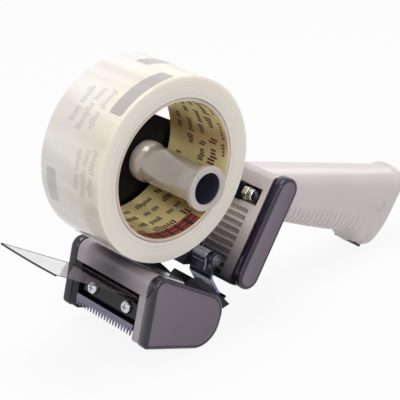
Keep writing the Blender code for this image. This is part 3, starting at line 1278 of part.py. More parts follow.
def web_path():
    """Middle line of the tape from the roll, round the roller and on to the slit."""
    roll, wrap = ROLL_RADIUS + TAPE_LINE_GAP, WRAP_RADIUS
    roller = Vector((ROLLER_X, ROLLER_Z))
    toward = math.atan2(roller.y, roller.x)
    leave = toward - math.acos((roll + wrap) / roller.length)
    start = Vector((math.cos(leave), math.sin(leave))) * roll
    first = leave + math.pi
    last = -math.pi / 2 - TAPE_PITCH
    steps = 4 * CORNER_STEPS
    path = [start]
    for step in range(steps + 1):
        angle = first + (last - first) * step / steps
        path.append(roller + Vector((math.cos(angle), math.sin(angle))) * wrap)
    along = Vector((-math.cos(TAPE_PITCH), math.sin(TAPE_PITCH)))
    path.append(Vector((SLIT_X, SLIT_Z)) - along * WEB_END)
    return path


def make_tape(carrier):
    """Tape from the roll to the slit, and its free end in front of the head."""
    web = prism("tape_web", sheet_section(web_path(), TAPE_THICKNESS), -HALF_TAPE, HALF_TAPE,
                carrier)
    paint(web, CLEAR, 0.15)
    along = Vector((-math.cos(TAPE_PITCH), math.sin(TAPE_PITCH)))
    slit = Vector((SLIT_X, SLIT_Z))
    start = slit - along * (WEB_END - SEAT_GAP)
    tail = prism("tape_tail", sheet_section([start, slit + along * TAIL_LENGTH], TAPE_THICKNESS),
                 -HALF_TAPE, HALF_TAPE, carrier)
    paint(tail, CLEAR, 0.1)


# Standing the finished tool on the ground

def solid_points(items):
    """World points of the pieces as they are built."""
    graph = bpy.context.evaluated_depsgraph_get()
    points = []
    for item in items:
        evaluated = item.evaluated_get(graph)
        mesh_data = evaluated.to_mesh()
        points += [evaluated.matrix_world @ vertex.co for vertex in mesh_data.vertices]
        evaluated.to_mesh_clear()
    return points


def rest_angle(points):
    """Turn about Y that brings the heel of the head and the butt of the grip level."""
    heel_side = [p for p in points if p.x < PIVOT_X]
    butt_side = [p for p in points if p.x > PIVOT_X]
    angle = 0.0
    for _ in range(3):
        sine, cosine = math.sin(angle), math.cos(angle)
        heel = min(heel_side, key=lambda p: p.z * cosine - p.x * sine)
        butt = min(butt_side, key=lambda p: p.z * cosine - p.x * sine)
        angle = math.atan2(butt.z - heel.z, butt.x - heel.x)
    return angle


def stand_on_ground(stance):
    """Turn the tool level on its two feet and put the origin under the middle of its box."""
    bpy.context.view_layer.update()
    pieces = [o for o in bpy.data.objects if o.type in {'MESH', 'CURVE'} and not o.hide_render]
    stance.rotation_euler = (0, rest_angle(solid_points(pieces)), 0)
    bpy.context.view_layer.update()
    points = solid_points(pieces)
    low = Vector([min(p[axis] for p in points) for axis in range(3)])
    high = Vector([max(p[axis] for p in points) for axis in range(3)])
    stance.location = Vector((-(low.x + high.x) / 2, -(low.y + high.y) / 2, -low.z))
    bpy.context.view_layer.update()


def main():
    for old in list(bpy.data.objects):
        bpy.data.objects.remove(old, do_unlink=True)
    stance = empty("stance", (0, 0, 0))
    roll_axis = empty("roll_axis", (0, 0, 0), stance)
    hub_axis = empty("hub_axis", (HUB_X, 0, HUB_Z), stance)
    head_pivot = empty("head_pivot", (PIVOT_X, 0, PIVOT_Z), stance)
    roller_centre = empty("roller_centre", (ROLLER_X, 0, ROLLER_Z), head_pivot)

    make_roll(roll_axis)
    make_hub(hub_axis)
    make_hub_fasteners(stance)
    make_side_plate(stance)
    make_plate_screws(stance)
    make_block(stance)
    make_slot_parts(stance)
    make_shell_cap("end_cap_near", cap_corners(), BLOCK_NEAR_Y - SEAT_GAP, -1, stance)
    make_shell_cap("end_cap_far", cap_corners(), PLATE_OUTER_Y + SEAT_GAP, 1, stance)
    make_grip(stance)
    make_pivot_bar(stance)
    make_pivot_pin(stance)
    make_spring(stance)

    make_strap(head_pivot)
    make_housing(head_pivot)
    make_shell_cap("head_cap_near", head_corners(), -CAP_INNER_Y, -1, head_pivot)
    make_shell_cap("head_cap_far", head_corners(), CAP_INNER_Y, 1, head_pivot)
    make_head_frame(head_pivot)
    make_blade(head_pivot)
    make_blade_holder(head_pivot)
    make_tape(head_pivot)
    make_roller(roller_centre, head_pivot)
    stand_on_ground(stance)


main()
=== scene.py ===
"""Looks of the hand-held packing tape dispenser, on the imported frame. Metres, Z up.

Pieces are built in the tool's own plane, as the solids are: X from the head to the grip, Y from
the open side to the side plate, the roll's centre at zero. The frame's joints say how that plane
stands in the row, so nothing is fitted by hand.
"""
import json
import math

import bmesh
import bpy
import numpy as np
from mathutils import Matrix, Vector


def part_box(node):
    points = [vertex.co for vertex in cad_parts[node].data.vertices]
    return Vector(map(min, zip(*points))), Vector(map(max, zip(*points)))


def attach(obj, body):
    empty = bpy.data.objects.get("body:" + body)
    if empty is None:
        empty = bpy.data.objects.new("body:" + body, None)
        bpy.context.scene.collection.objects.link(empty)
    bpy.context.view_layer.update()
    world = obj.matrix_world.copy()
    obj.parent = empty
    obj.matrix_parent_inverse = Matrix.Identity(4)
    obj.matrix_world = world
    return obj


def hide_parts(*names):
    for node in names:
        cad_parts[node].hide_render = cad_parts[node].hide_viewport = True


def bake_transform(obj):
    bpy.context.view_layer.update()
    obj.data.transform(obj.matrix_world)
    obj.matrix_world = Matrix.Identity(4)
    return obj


MM = 0.001
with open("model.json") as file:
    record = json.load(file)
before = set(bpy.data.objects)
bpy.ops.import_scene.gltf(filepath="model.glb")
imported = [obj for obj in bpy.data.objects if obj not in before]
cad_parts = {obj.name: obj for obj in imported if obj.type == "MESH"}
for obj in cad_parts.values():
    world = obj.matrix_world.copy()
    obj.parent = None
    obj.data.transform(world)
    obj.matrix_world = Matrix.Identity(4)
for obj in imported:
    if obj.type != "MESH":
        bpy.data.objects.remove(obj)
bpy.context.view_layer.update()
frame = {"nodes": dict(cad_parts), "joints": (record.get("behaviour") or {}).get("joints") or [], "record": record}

# Tool plane, found from the roll's and the hub's axes
HUB_ANGLE = math.radians(-20.5)
AXES = {joint["name"]: Vector(joint["pos_m"]) for joint in frame["joints"]}
ROLL = AXES["tape_roll_spin"]
TO_HUB = AXES["hub_spin"] - ROLL
STANCE = HUB_ANGLE - math.atan2(TO_HUB.z, TO_HUB.x)
TOOL = Matrix.Translation(ROLL) @ Matrix.Rotation(STANCE, 4, 'Y')
TOOL_BACK = TOOL.inverted()
HUB = TOOL_BACK @ AXES["hub_spin"]
PIVOT = TOOL_BACK @ AXES["head_pivot"]

# Camera, in the tool plane
CAMERA_PLACE = Vector((-543.4, -567.4, 171.9)) * MM
CAMERA_RIGHT = Vector((0.713, -0.666, 0.219))
CAMERA_AHEAD = Vector((0.702, 0.673, -0.233))
CAMERA_LENS = 135
CAMERA_SENSOR = 36

# Roll and core, read from the frame, all but the core's wall
ROLL_LOW, ROLL_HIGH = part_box("tape_roll")
CORE_LOW, CORE_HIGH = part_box("tape_core")
ROLL_RADIUS = (ROLL_HIGH.z - ROLL_LOW.z) / 2
CORE_OUTER_RADIUS = (CORE_HIGH.z - CORE_LOW.z) / 2
CORE_WALL = 1.6 * MM
CORE_BORE_RADIUS = CORE_OUTER_RADIUS - CORE_WALL
HALF_TAPE = ROLL_HIGH.y

# Shared by several pieces
SEAT_GAP = 0.3 * MM
SKIN = 0.05 * MM
WELD = MM / 1000
ROUND_STEPS = 192


# Colours

def srgb(red, green, blue):
    """Linear colour from the 0 to 255 values of a screen."""
    values = []
    for part in (red, green, blue):
        share = part / 255
        values.append(share / 12.92 if share <= 0.04045 else ((share + 0.055) / 1.055) ** 2.4)
    return (*values, 1.0)


GRIP_GREY = srgb(209, 199, 201)
BLOCK_GREY = srgb(192, 182, 180)
# Painted light in the block's middle and painted shade down to its foot
BLOCK_PAINTED_LIGHT = srgb(226, 214, 211)
BLOCK_SHADE = srgb(120, 112, 116)
BLOCK_FOOT_SHADE = srgb(28, 25, 34)
HUB_GREY = srgb(190, 179, 172)
HOUSING_GREY = srgb(172, 162, 168)
# Painted shade: the roll's shadow on the housing's nose
HOUSING_PAINTED_SHADE = srgb(98, 91, 99)
PLUM_FACE = srgb(108, 95, 109)
# Painted reflection: the covers' glossy side walls made dark, as they mirror dark surroundings
PLUM_RIM_PAINTED_REFLECTION = srgb(34, 25, 44)
BLACK = srgb(14, 12, 18)
BLACK_STEEL = srgb(7, 6, 18)
STEEL = srgb(205, 205, 208)
DARK_STEEL = srgb(120, 116, 134)
WIRE = srgb(164, 160, 172)
BAR_GREY = srgb(84, 80, 86)
CREAM = srgb(230, 223, 207)
# Painted light: the pale of light coming through the clear turns
TURNS_PAINTED_LIGHT = srgb(232, 228, 223)
PRINT_BLUE = srgb(150, 150, 166)
# Painted sheen on the gold lining: its painted highlight and its painted shade
GOLD_PAINTED_HIGHLIGHT = srgb(255, 244, 184)
GOLD_PAINTED_SHADE = srgb(176, 146, 96)
INK = srgb(52, 38, 46)
INK_RED = srgb(112, 48, 62)
BAND_RED = srgb(172, 76, 66)
CARD_EDGE = srgb(214, 196, 180)
FILM = srgb(124, 104, 110)
FILM_EDGE = srgb(70, 50, 48)
FILM_CUT = srgb(40, 30, 40)
NUT_STEEL = srgb(236, 230, 208)
STRAP_STEEL = srgb(126, 130, 150)
RUBBER = srgb(60, 58, 58)
FLOOR = srgb(222, 222, 222)
WHITE = srgb(255, 255, 255)
# Painted shade inside the hub's bore
BORE_PAINTED_SHADE = srgb(58, 58, 74)
BLOCK_CLOUD = srgb(205, 203, 200)
HOUSING_CLOUD = srgb(214, 210, 214)
STREAK = srgb(226, 222, 216)
RING_DEEP = srgb(236, 229, 216)
RING_PALE = srgb(250, 246, 240)
RING_LINE = srgb(222, 216, 205)


# Materials

def new_material(name):
    """Material with its node tree and its shader."""
    material = bpy.data.materials.new(name)
    material.use_nodes = True
    return material, material.node_tree, material.node_tree.nodes["Principled BSDF"]


def fill(tree, node, values):
    """Link a node's inputs, found by name or number, to sockets or set them to fixed values."""
    for name, value in values.items():
        if isinstance(value, bpy.types.NodeSocket):
            tree.links.new(value, node.inputs[name])
        else:
            node.inputs[name].default_value = value


def add_node(tree, kind, values, operation=None):
    """Shader node of a kind, with its inputs filled."""
    node = tree.nodes.new("ShaderNode" + kind)
    if operation:
        node.operation = operation
    fill(tree, node, values)
    return node


def coordinates(tree):
    """Place on the object, in metres."""
    return tree.nodes.new("ShaderNodeTexCoord").outputs["Object"]


def noise(tree, scale, detail=3.0, stretch=None):
    """Noise of a given scale per metre, stretched along an axis where asked."""
    source = coordinates(tree)
    if stretch:
        mapping = add_node(tree, "Mapping", {"Scale": stretch, "Vector": source})
        source = mapping.outputs["Vector"]
    texture = add_node(tree, "TexNoise", {"Scale": scale, "Detail": detail, "Vector": source})
    return texture.outputs["Fac"]


def graded(tree, factor, stops, interpolation='LINEAR'):
    """Colour that runs through stops, each a place and a colour, as a factor rises."""
    node = tree.nodes.new("ShaderNodeValToRGB")
    node.color_ramp.interpolation = interpolation
    elements = node.color_ramp.elements
    elements[0].position, elements[1].position = stops[0][0], stops[-1][0]
    elements[0].color, elements[1].color = stops[0][1], stops[-1][1]
    for place, colour in stops[1:-1]:
        elements.new(place).color = colour
    tree.links.new(factor, node.inputs["Fac"])
    return node.outputs["Color"]


def ramp(tree, factor, low, high, start=0.3, end=0.7):
    """Colour that goes from low to high with a factor."""
    return graded(tree, factor, ((start, low), (end, high)))


def multiplied(tree, tone, veil, share):
    """Tone darkened by a veil, as far as a share says."""
    mix = tree.nodes.new("ShaderNodeMix")
    mix.data_type = 'RGBA'
    mix.blend_type = 'MULTIPLY'
    fill(tree, mix, {"Factor": share, "A": tone, "B": veil})
    return mix.outputs["Result"]


def combined(tree, operation, *values):
    """Result of a math node whose inputs are sockets or fixed numbers."""
    return add_node(tree, "Math", dict(enumerate(values)), operation).outputs["Value"]


def vector_math(tree, operation, *values):
    """Node that works on sockets and fixed vectors."""
    return add_node(tree, "VectorMath", dict(enumerate(values)), operation)


def spread(tree, factor, low, high, start=0.25, end=0.75):
    """Number that goes from low to high while a factor goes from start to end."""
    values = {"Value": factor, "From Min": start, "From Max": end, "To Min": low, "To Max": high}
    return add_node(tree, "MapRange", values).outputs["Result"]


def add_bump(tree, shader, height, strength, distance):
    """Bump on a shader."""
    values = {"Strength": strength, "Distance": distance, "Height": height}
    fill(tree, shader, {"Normal": add_node(tree, "Bump", values).outputs["Normal"]})


def add_grain(tree, shader, grain, low, high, strength, distance):
    """Roughness between two values, and a bump, which both follow a grain."""
    fill(tree, shader, {"Roughness": spread(tree, grain, low, high)})
    add_bump(tree, shader, grain, strength, distance)


def shaded(colour, factor):
    """The same colour, darker or lighter by a factor."""
    return (*[min(value * factor, 1.0) for value in colour[:3]], 1.0)


def plastic(name, colour, roughness, grain=1400, grain_depth=0.03 * MM, patch=35, contrast=0.06,
            coat=0.0, shine=0.5):
    """Moulded plastic: faint clouds of tone, an uneven gloss and a fine grain."""
    material, tree, shader = new_material(name)
    clouds = noise(tree, patch, detail=2.0)
    tone = ramp(tree, clouds, shaded(colour, 1 - contrast), shaded(colour, 1 + contrast))
    fill(tree, shader, {"Base Color": tone, "Specular IOR Level": shine, "Coat Weight": coat,
                        "Coat Roughness": 0.12})
    add_grain(tree, shader, noise(tree, grain, detail=4.0), roughness * 0.85, roughness * 1.15,
              strength=0.25, distance=grain_depth)
    return material


def metal(name, colour, roughness, stretch=(1, 1, 1), scale=900, contrast=0.12):
    """Plated or drawn metal with fine lines along one direction."""
    material, tree, shader = new_material(name)
    lines = noise(tree, scale, stretch=stretch)
    tone = ramp(tree, lines, shaded(colour, 1 - contrast), shaded(colour, 1 + contrast / 2))
    fill(tree, shader, {"Base Color": tone, "Metallic": 1.0})
    add_grain(tree, shader, lines, roughness * 0.7, roughness * 1.4, strength=0.15,
              distance=0.02 * MM)
    return material


def along_tool(tree, axis, low, high):
    """Factor from 0 to 1 between two places along a direction of the tool's plane."""
    direction = TOOL.to_3x3() @ Vector(axis)
    start, end = [direction.dot(TOOL @ (Vector(axis) * place)) for place in (low, high)]
    dot = vector_math(tree, 'DOT_PRODUCT', coordinates(tree), direction)
    return spread(tree, dot.outputs["Value"], 0.0, 1.0, start, end)


def cast_block():
    """Painted casting, with painted shade at its foot, painted light across its middle and grey at its top."""
    material, tree, shader = new_material("block_paint")
    height = along_tool(tree, (0, 0, 1), low=-66 * MM, high=-4 * MM)
    # Painted shade towards the foot and painted light across the middle stand in for the roll's shadow and the
    # light on the ribs
    tone = graded(tree, height, ((0.06, BLOCK_FOOT_SHADE), (0.26, BLOCK_SHADE),
                                 (0.62, BLOCK_PAINTED_LIGHT), (0.92, BLOCK_GREY)))
    veil = ramp(tree, noise(tree, scale=60), BLOCK_CLOUD, WHITE)
    fill(tree, shader, {"Base Color": multiplied(tree, tone, veil, share=0.35)})
    add_grain(tree, shader, noise(tree, scale=1600, detail=4.0), low=0.32, high=0.46,
              strength=0.25, distance=0.04 * MM)
    return material


def housing_plastic():
    """Housing: the middle of its nose is painted darker, as the shadow the roll casts on it."""
    material, tree, shader = new_material("housing_plastic")
    across = along_tool(tree, (0, 1, 0), low=-30 * MM, high=30 * MM)
    # Painted shade across the middle of the nose, where the roll shadows it
    tone = graded(tree, across, ((0.10, HOUSING_GREY), (0.50, HOUSING_PAINTED_SHADE),
                                 (0.95, shaded(HOUSING_GREY, 0.9))), 'EASE')
    veil = ramp(tree, noise(tree, scale=45), HOUSING_CLOUD, WHITE)
    fill(tree, shader, {"Base Color": multiplied(tree, tone, veil, share=0.4),
                        "Coat Weight": 0.3, "Coat Roughness": 0.12})
    add_grain(tree, shader, noise(tree, scale=1400, detail=4.0), low=0.22, high=0.32,
              strength=0.25, distance=0.03 * MM)
    return material


def wound_tape():
    """Outer turns of the roll: clear film over cream, painted paler towards the far edge as light coming through
    the film.
    """
    material, tree, shader = new_material("wound_tape")
    across = along_tool(tree, (0, 1, 0), -HALF_TAPE, HALF_TAPE)
    wavy = combined(tree, 'MULTIPLY_ADD', noise(tree, scale=26, detail=2.0), 0.45, across)
    # Painted light: paler towards the far edge, where light comes through the clear film
    tone = ramp(tree, wavy, CREAM, TURNS_PAINTED_LIGHT, start=0.30, end=0.95)
    streaks = noise(tree, scale=70, stretch=(1, 0.12, 1))
    veil = ramp(tree, streaks, STREAK, WHITE, start=0.35, end=0.6)
    fill(tree, shader, {"Base Color": multiplied(tree, tone, veil, share=0.6)})
    add_grain(tree, shader, streaks, low=0.10, high=0.26, strength=0.25, distance=0.20 * MM)
    clear_body(tree, shader, coat=0.35)
    return material


def clear_body(tree, shader, coat):
    """Light goes into stacked clear film and comes out again nearby."""
    fill(tree, shader, {"Subsurface Weight": 0.6, "Subsurface Radius": (1.0, 0.9, 0.7),
                        "Subsurface Scale": 5 * MM, "Coat Weight": coat, "Coat Roughness": 0.06})


def ring_noise(tree, radius, scale):
    """Noise that changes with the radius alone."""
    texture = tree.nodes.new("ShaderNodeTexNoise")
    texture.noise_dimensions = '1D'
    fill(tree, texture, {"Scale": scale, "Detail": 2.0, "W": radius})
    return texture.outputs["Fac"]


def tape_ends():
    """Side of the roll: film edges as fine rings, with broad soft bands."""
    material, tree, shader = new_material("tape_ends")
    offset = vector_math(tree, 'SUBTRACT', coordinates(tree), ROLL)
    flat = vector_math(tree, 'MULTIPLY', offset.outputs["Vector"], (1, 0, 1))
    radius = vector_math(tree, 'LENGTH', flat.outputs["Vector"]).outputs["Value"]
    fine = ring_noise(tree, radius, scale=4200)
    broad = ring_noise(tree, radius, scale=420)
    tone = ramp(tree, broad, RING_DEEP, RING_PALE, start=0.25, end=0.75)
    veil = ramp(tree, fine, RING_LINE, WHITE)
    fill(tree, shader, {"Base Color": multiplied(tree, tone, veil, share=0.5),
                        "Roughness": 0.32})
    add_bump(tree, shader, fine, strength=0.2, distance=0.05 * MM)
    clear_body(tree, shader, coat=0.25)
    return material


def core_lining():
    """Gold printed paper inside the core, its light and dark patches a painted sheen."""
    material, tree, shader = new_material("core_lining")
    painted_sheen = noise(tree, scale=34, detail=2.0, stretch=(1, 0.3, 1))
    # Painted sheen: patches of painted highlight and painted shade over the lining's gold
    tone = ramp(tree, painted_sheen, GOLD_PAINTED_SHADE, GOLD_PAINTED_HIGHLIGHT, start=0.38, end=0.6)
    fill(tree, shader, {"Base Color": tone, "Metallic": 0.15})
    fibre = noise(tree, scale=1500, detail=4.0, stretch=(1, 0.3, 1))
    add_grain(tree, shader, fibre, low=0.30, high=0.45, strength=0.2, distance=0.03 * MM)
    return material


def clear_film(name, colour, alpha, roughness=0.12):
    """One layer of clear film."""
    material, tree, shader = new_material(name)
    clouds = noise(tree, scale=45, detail=2.0)
    tone = ramp(tree, clouds, shaded(colour, 0.93), colour)
    fill(tree, shader, {"Base Color": tone, "Roughness": roughness, "Coat Weight": 1.0,
                        "Coat Roughness": 0.04,
                        "Alpha": spread(tree, clouds, alpha * 0.85, alpha * 1.15)})
    return material


M_GRIP = plastic("grip_plastic", GRIP_GREY, 0.30, grain=1800, contrast=0.03, coat=0.12)
M_BLOCK = cast_block()
M_HUB = plastic("hub_plastic", HUB_GREY, 0.14, patch=55, contrast=0.09, coat=1.0)
M_HUB_BORE_SHADE = plastic("hub_bore_painted_shade", BORE_PAINTED_SHADE, 0.25, contrast=0.08)
M_HOUSING = housing_plastic()
M_CAP_FACE = plastic("cap_face", PLUM_FACE, 0.40, grain=1500, contrast=0.05)
M_CAP_RIM_REFLECTION = plastic("cap_rim_painted_reflection", PLUM_RIM_PAINTED_REFLECTION, 0.09, grain=500, contrast=0.10, shine=0.55)
# Black plastic of the black parts, and painted shade on the housing's inner walls and far front post
M_BLACK_AND_SHADE = plastic("black_plastic", BLACK, 0.34, contrast=0.2, shine=0.25)
# Painted reflection: the chrome dome made black, as the dark it mirrors
M_DOME_REFLECTION = plastic("dome_painted_reflection", BLACK, 0.06, grain=400, contrast=0.1, shine=0.35)
M_PLATE = plastic("black_enamel", BLACK_STEEL, 0.34, grain=700, contrast=0.15, shine=0.25)
M_CLAMP = plastic("clamp_enamel", BLACK_STEEL, 0.16, grain=900, contrast=0.15, shine=0.35)
M_STEEL = metal("plated_steel", STEEL, 0.18)
M_NUT = metal("nut_plating", NUT_STEEL, 0.26, contrast=0.06)
M_BLADE = metal("blade_steel", DARK_STEEL, 0.22, stretch=(1, 6, 1), scale=500)
M_WIRE = metal("spring_wire", WIRE, 0.30, scale=1500)
M_PIN = metal("dark_pin", WIRE, 0.34)
M_STRAP = metal("strap_steel", STRAP_STEEL, 0.28, stretch=(1, 6, 1))
M_BAR = metal("bar_metal", BAR_GREY, 0.42, scale=300)
M_RUBBER = plastic("roller_rubber", RUBBER, 0.75, grain=900, grain_depth=0.08 * MM)
M_TURNS = wound_tape()
M_ENDS = tape_ends()
M_LINING = core_lining()
M_CARD = plastic("card_edge", CARD_EDGE, 0.75, grain=2500, grain_depth=0.06 * MM, contrast=0.15)
M_PRINT = clear_film("outer_print", PRINT_BLUE, 0.40, 0.3)
M_PRINT_PALE = clear_film("outer_print_pale", PRINT_BLUE, 0.22, 0.3)
M_INK = plastic("inner_ink", INK, 0.45, contrast=0.2)
M_INK_RED = plastic("inner_ink_red", INK_RED, 0.45, contrast=0.2)
M_BAND = plastic("inner_band", BAND_RED, 0.40, contrast=0.15)
M_FILM = clear_film("tape_film", FILM, 0.36)
M_FILM_EDGE = plastic("film_edge", FILM_EDGE, 0.30, contrast=0.2)
M_FILM_CUT = plastic("film_cut", FILM_CUT, 0.35, contrast=0.2)


# Outlines and solids in the tool's plane

def rounded(corners, steps):
    """Outline through corners (x, z, radius), each corner an arc of that radius."""
    points = []
    for index, (x, z, radius) in enumerate(corners):
        corner = Vector((x, z))
        if radius <= 0:
            points.append(corner)
            continue
        before = (Vector(corners[index - 1][:2]) - corner).normalized()
        after = (Vector(corners[(index + 1) % len(corners)][:2]) - corner).normalized()
        half = before.angle(after) / 2
        centre = corner + (before + after).normalized() * (radius / math.sin(half))
        start = corner + before * (radius / math.tan(half)) - centre
        end = corner + after * (radius / math.tan(half)) - centre
        turn = start.angle_signed(end)
        for step in range(steps + 1):
            points.append(centre + Matrix.Rotation(-turn * step / steps, 2) @ start)
    return points


def inset(corners, distance):
    """The same corners with every side moved inwards by a distance."""
    area = 0.0
    for (x0, z0, _), (x1, z1, _) in zip(corners, corners[1:] + corners[:1]):
        area += x0 * z1 - x1 * z0
    side = 1.0 if area > 0 else -1.0
    moved = []
    for index, (x, z, radius) in enumerate(corners):
        before = (Vector((x, z)) - Vector(corners[index - 1][:2])).normalized()
        after = (Vector(corners[(index + 1) % len(corners)][:2]) - Vector((x, z))).normalized()
        normal_before = Vector((-before.y, before.x)) * side
        normal_after = Vector((-after.y, after.x)) * side
        bisector = (normal_before + normal_after).normalized()
        reach = distance / max(bisector.dot(normal_after), 0.2)
        point = Vector((x, z)) + bisector * reach
        moved.append((point.x, point.y, max(radius - distance, radius / 4)))
    return moved


def as_mesh(name, solid):
    """Mesh of a bmesh, which is freed."""
    mesh_data = bpy.data.meshes.new(name)
    solid.to_mesh(mesh_data)
    solid.free()
    return mesh_data


def add_object(name, data):
    """Object in the scene that shows the given data."""
    item = bpy.data.objects.new(name, data)
    bpy.context.scene.collection.objects.link(item)
    return item


def put(name, solid, materials, body, replaced=(), smooth=40):
    """Finish a bmesh built in the tool's plane as a piece that rides on a body."""
    bmesh.ops.recalc_face_normals(solid, faces=solid.faces)
    mesh_data = as_mesh(name, solid)
    mesh_data.transform(TOOL)
    return put_mesh(name, mesh_data, materials, body, replaced, smooth)


def put_mesh(name, mesh_data, materials, body, replaced=(), smooth=40):
    """Finish a mesh in the row's frame as a piece that rides on a body, or that stays in place when given two."""
    for polygon in mesh_data.polygons:
        polygon.use_smooth = True
    mesh_data.set_sharp_from_angle(angle=math.radians(smooth))
    for material in materials:
        mesh_data.materials.append(material)
    piece = add_object(name, mesh_data)
    if isinstance(body, tuple):
        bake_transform(piece)
    else:
        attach(piece, body)
    if replaced:
        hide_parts(*replaced)
    return piece


def add_loft(solid, loops):
    """Capped skin through closed loops of equally many points. Gives back its last cap."""
    rings = [[solid.verts.new(point) for point in loop] for loop in loops]
    count = len(rings[0])
    for lower, upper in zip(rings, rings[1:]):
        for i in range(count):
            j = (i + 1) % count
            solid.faces.new((lower[i], lower[j], upper[j], upper[i]))
    solid.faces.new(rings[0][::-1])
    return solid.faces.new(rings[-1])


def add_turned(solid, profile, x, z, steps=ROUND_STEPS):
    """Ring turned about an axis along Y, from a profile of (radius, y, material)."""
    rings = []
    for radius, y, _ in profile:
        if radius == 0:
            rings.append([solid.verts.new((x, y, z))] * steps)
            continue
        ring = []
        for step in range(steps):
            angle = 2 * math.pi * step / steps
            ring.append(solid.verts.new((x + radius * math.cos(angle), y,
                                         z + radius * math.sin(angle))))
        rings.append(ring)
    closed = profile[0][0] != 0
    spans = list(range(len(rings) - 1)) + ([len(rings) - 1] if closed else [])
    for span in spans:
        first, second = rings[span], rings[(span + 1) % len(rings)]
        for i in range(steps):
            j = (i + 1) % steps
            corners = []
            for vertex in (first[i], first[j], second[j], second[i]):
                if vertex not in corners:
                    corners.append(vertex)
            if len(corners) > 2:
                solid.faces.new(corners).material_index = profile[span][2]


EDGE_STEPS = 5


def round_edge(radius_0, y_0, radius_1, y_1):
    """Quarter arc in a profile, from one point to another, bulging towards the first's radius."""
    points = []
    for step in range(EDGE_STEPS + 1):
        angle = math.pi / 2 * step / EDGE_STEPS
        points.append((radius_1 + (radius_0 - radius_1) * math.cos(angle),
                       y_0 + (y_1 - y_0) * math.sin(angle), 0))
    return points


# The film between roll and slit is given two bodies and two heights: the roll's above the first,
# the head's below the second, which is just over the guide roller. It stays where it is between them.
WEB_START, WEB_HELD = Vector((-17.2, 0, -49.6)) * MM, Vector((-17.2, 0, -67.0)) * MM
WEB_BEND = ("frame", "head", TOOL @ WEB_START, TOOL @ WEB_HELD)
# In degrees: faces that meet at less are merged, and edges that are sharper are rounded
FLAT_ANGLE, SHARP_ANGLE = 0.6, 35


def dress(node, material, edge):
    """Detailed copy of a CAD node: its faces merged, and its sharp edges softly rounded."""
    body = WEB_BEND if node == "tape_web" else next(
        name for name, nodes in frame["record"]["behaviour"]["bodies"].items() if node in nodes)
    solid = bmesh.new()
    solid.from_mesh(frame["nodes"][node].data)
    bmesh.ops.remove_doubles(solid, verts=solid.verts, dist=WELD)
    bmesh.ops.dissolve_limit(solid, angle_limit=math.radians(FLAT_ANGLE), verts=solid.verts,
                             edges=solid.edges)
    bmesh.ops.recalc_face_normals(solid, faces=solid.faces)
    if edge:
        sharp = [e for e in solid.edges if e.is_manifold
                 and e.calc_face_angle(0) > math.radians(SHARP_ANGLE)]
        bmesh.ops.bevel(solid, geom=sharp, offset=edge, segments=2, profile=0.5,
                        affect='EDGES', clamp_overlap=True, miter_outer='ARC')
    name = node + "_dressed"
    piece = put_mesh(name, as_mesh(name, solid), [material], body, [node], SHARP_ANGLE)
    if edge:
        weighted = piece.modifiers.new("even_shade", 'WEIGHTED_NORMAL')
        weighted.keep_sharp = True
    return piece


def darken(piece, material, is_dark, cuts=()):
    """Give the faces that a test picks, by middle and normal in the tool's plane, a material.

    The faces are first parted along flat cuts, each a place and a direction in that plane.
    """
    solid = bmesh.new()
    solid.from_mesh(piece.data)
    for place, direction in cuts:
        bmesh.ops.bisect_plane(solid, geom=solid.verts[:] + solid.edges[:] + solid.faces[:],
                               plane_co=TOOL @ Vector(place),
                               plane_no=TOOL.to_3x3() @ Vector(direction))
    solid.to_mesh(piece.data)
    solid.free()
    piece.data.materials.append(material)
    slot = len(piece.data.materials) - 1
    turn = TOOL_BACK.to_3x3()
    for polygon in piece.data.polygons:
        if is_dark(TOOL_BACK @ polygon.center, turn @ polygon.normal):
            polygon.material_index = slot


LIP_Z = -68.9 * MM
WALL_Y = 24.9 * MM
HEAD_CUTS = (((0, 0, LIP_Z), (0, 0, 1)), ((0, WALL_Y, 0), (0, 1, 0)), ((0, -WALL_Y, 0), (0, 1, 0)))


def inside_head(middle, normal):
    """Whether a face of the housing lies inside its walls or on the far front post."""
    on_wall = abs(middle.y) < WALL_Y + 0.2 * MM and abs(normal.y) > 0.7
    on_post = middle.y > WALL_Y and middle.z < LIP_Z and normal.x < -0.3
    hidden = abs(middle.y) < WALL_Y and middle.z < LIP_Z
    return on_wall or on_post or hidden


# Roll and core

ROLL_EDGE, TURN_ROWS = 0.35 * MM, 12


def make_roll():
    """Roll of tape: glossy turns outside and ringed film edges on both sides."""
    solid = bmesh.new()
    inner, rim, side = CORE_OUTER_RADIUS + SEAT_GAP, ROLL_RADIUS - ROLL_EDGE, HALF_TAPE - ROLL_EDGE
    profile = [(inner, HALF_TAPE, 1), (rim, HALF_TAPE, 0)]
    profile += round_edge(ROLL_RADIUS, side, rim, HALF_TAPE)[::-1][1:]
    for row in range(1, TURN_ROWS):
        profile.append((ROLL_RADIUS, side * (1 - 2 * row / TURN_ROWS), 0))
    profile += round_edge(ROLL_RADIUS, -side, rim, -HALF_TAPE)
    profile[-1] = (rim, -HALF_TAPE, 1)
    profile.append((inner, -HALF_TAPE, 1))
    add_turned(solid, profile, 0, 0, 2 * ROUND_STEPS)
    put("roll_of_tape", solid, [M_TURNS, M_ENDS], "tape", ["tape_roll"])


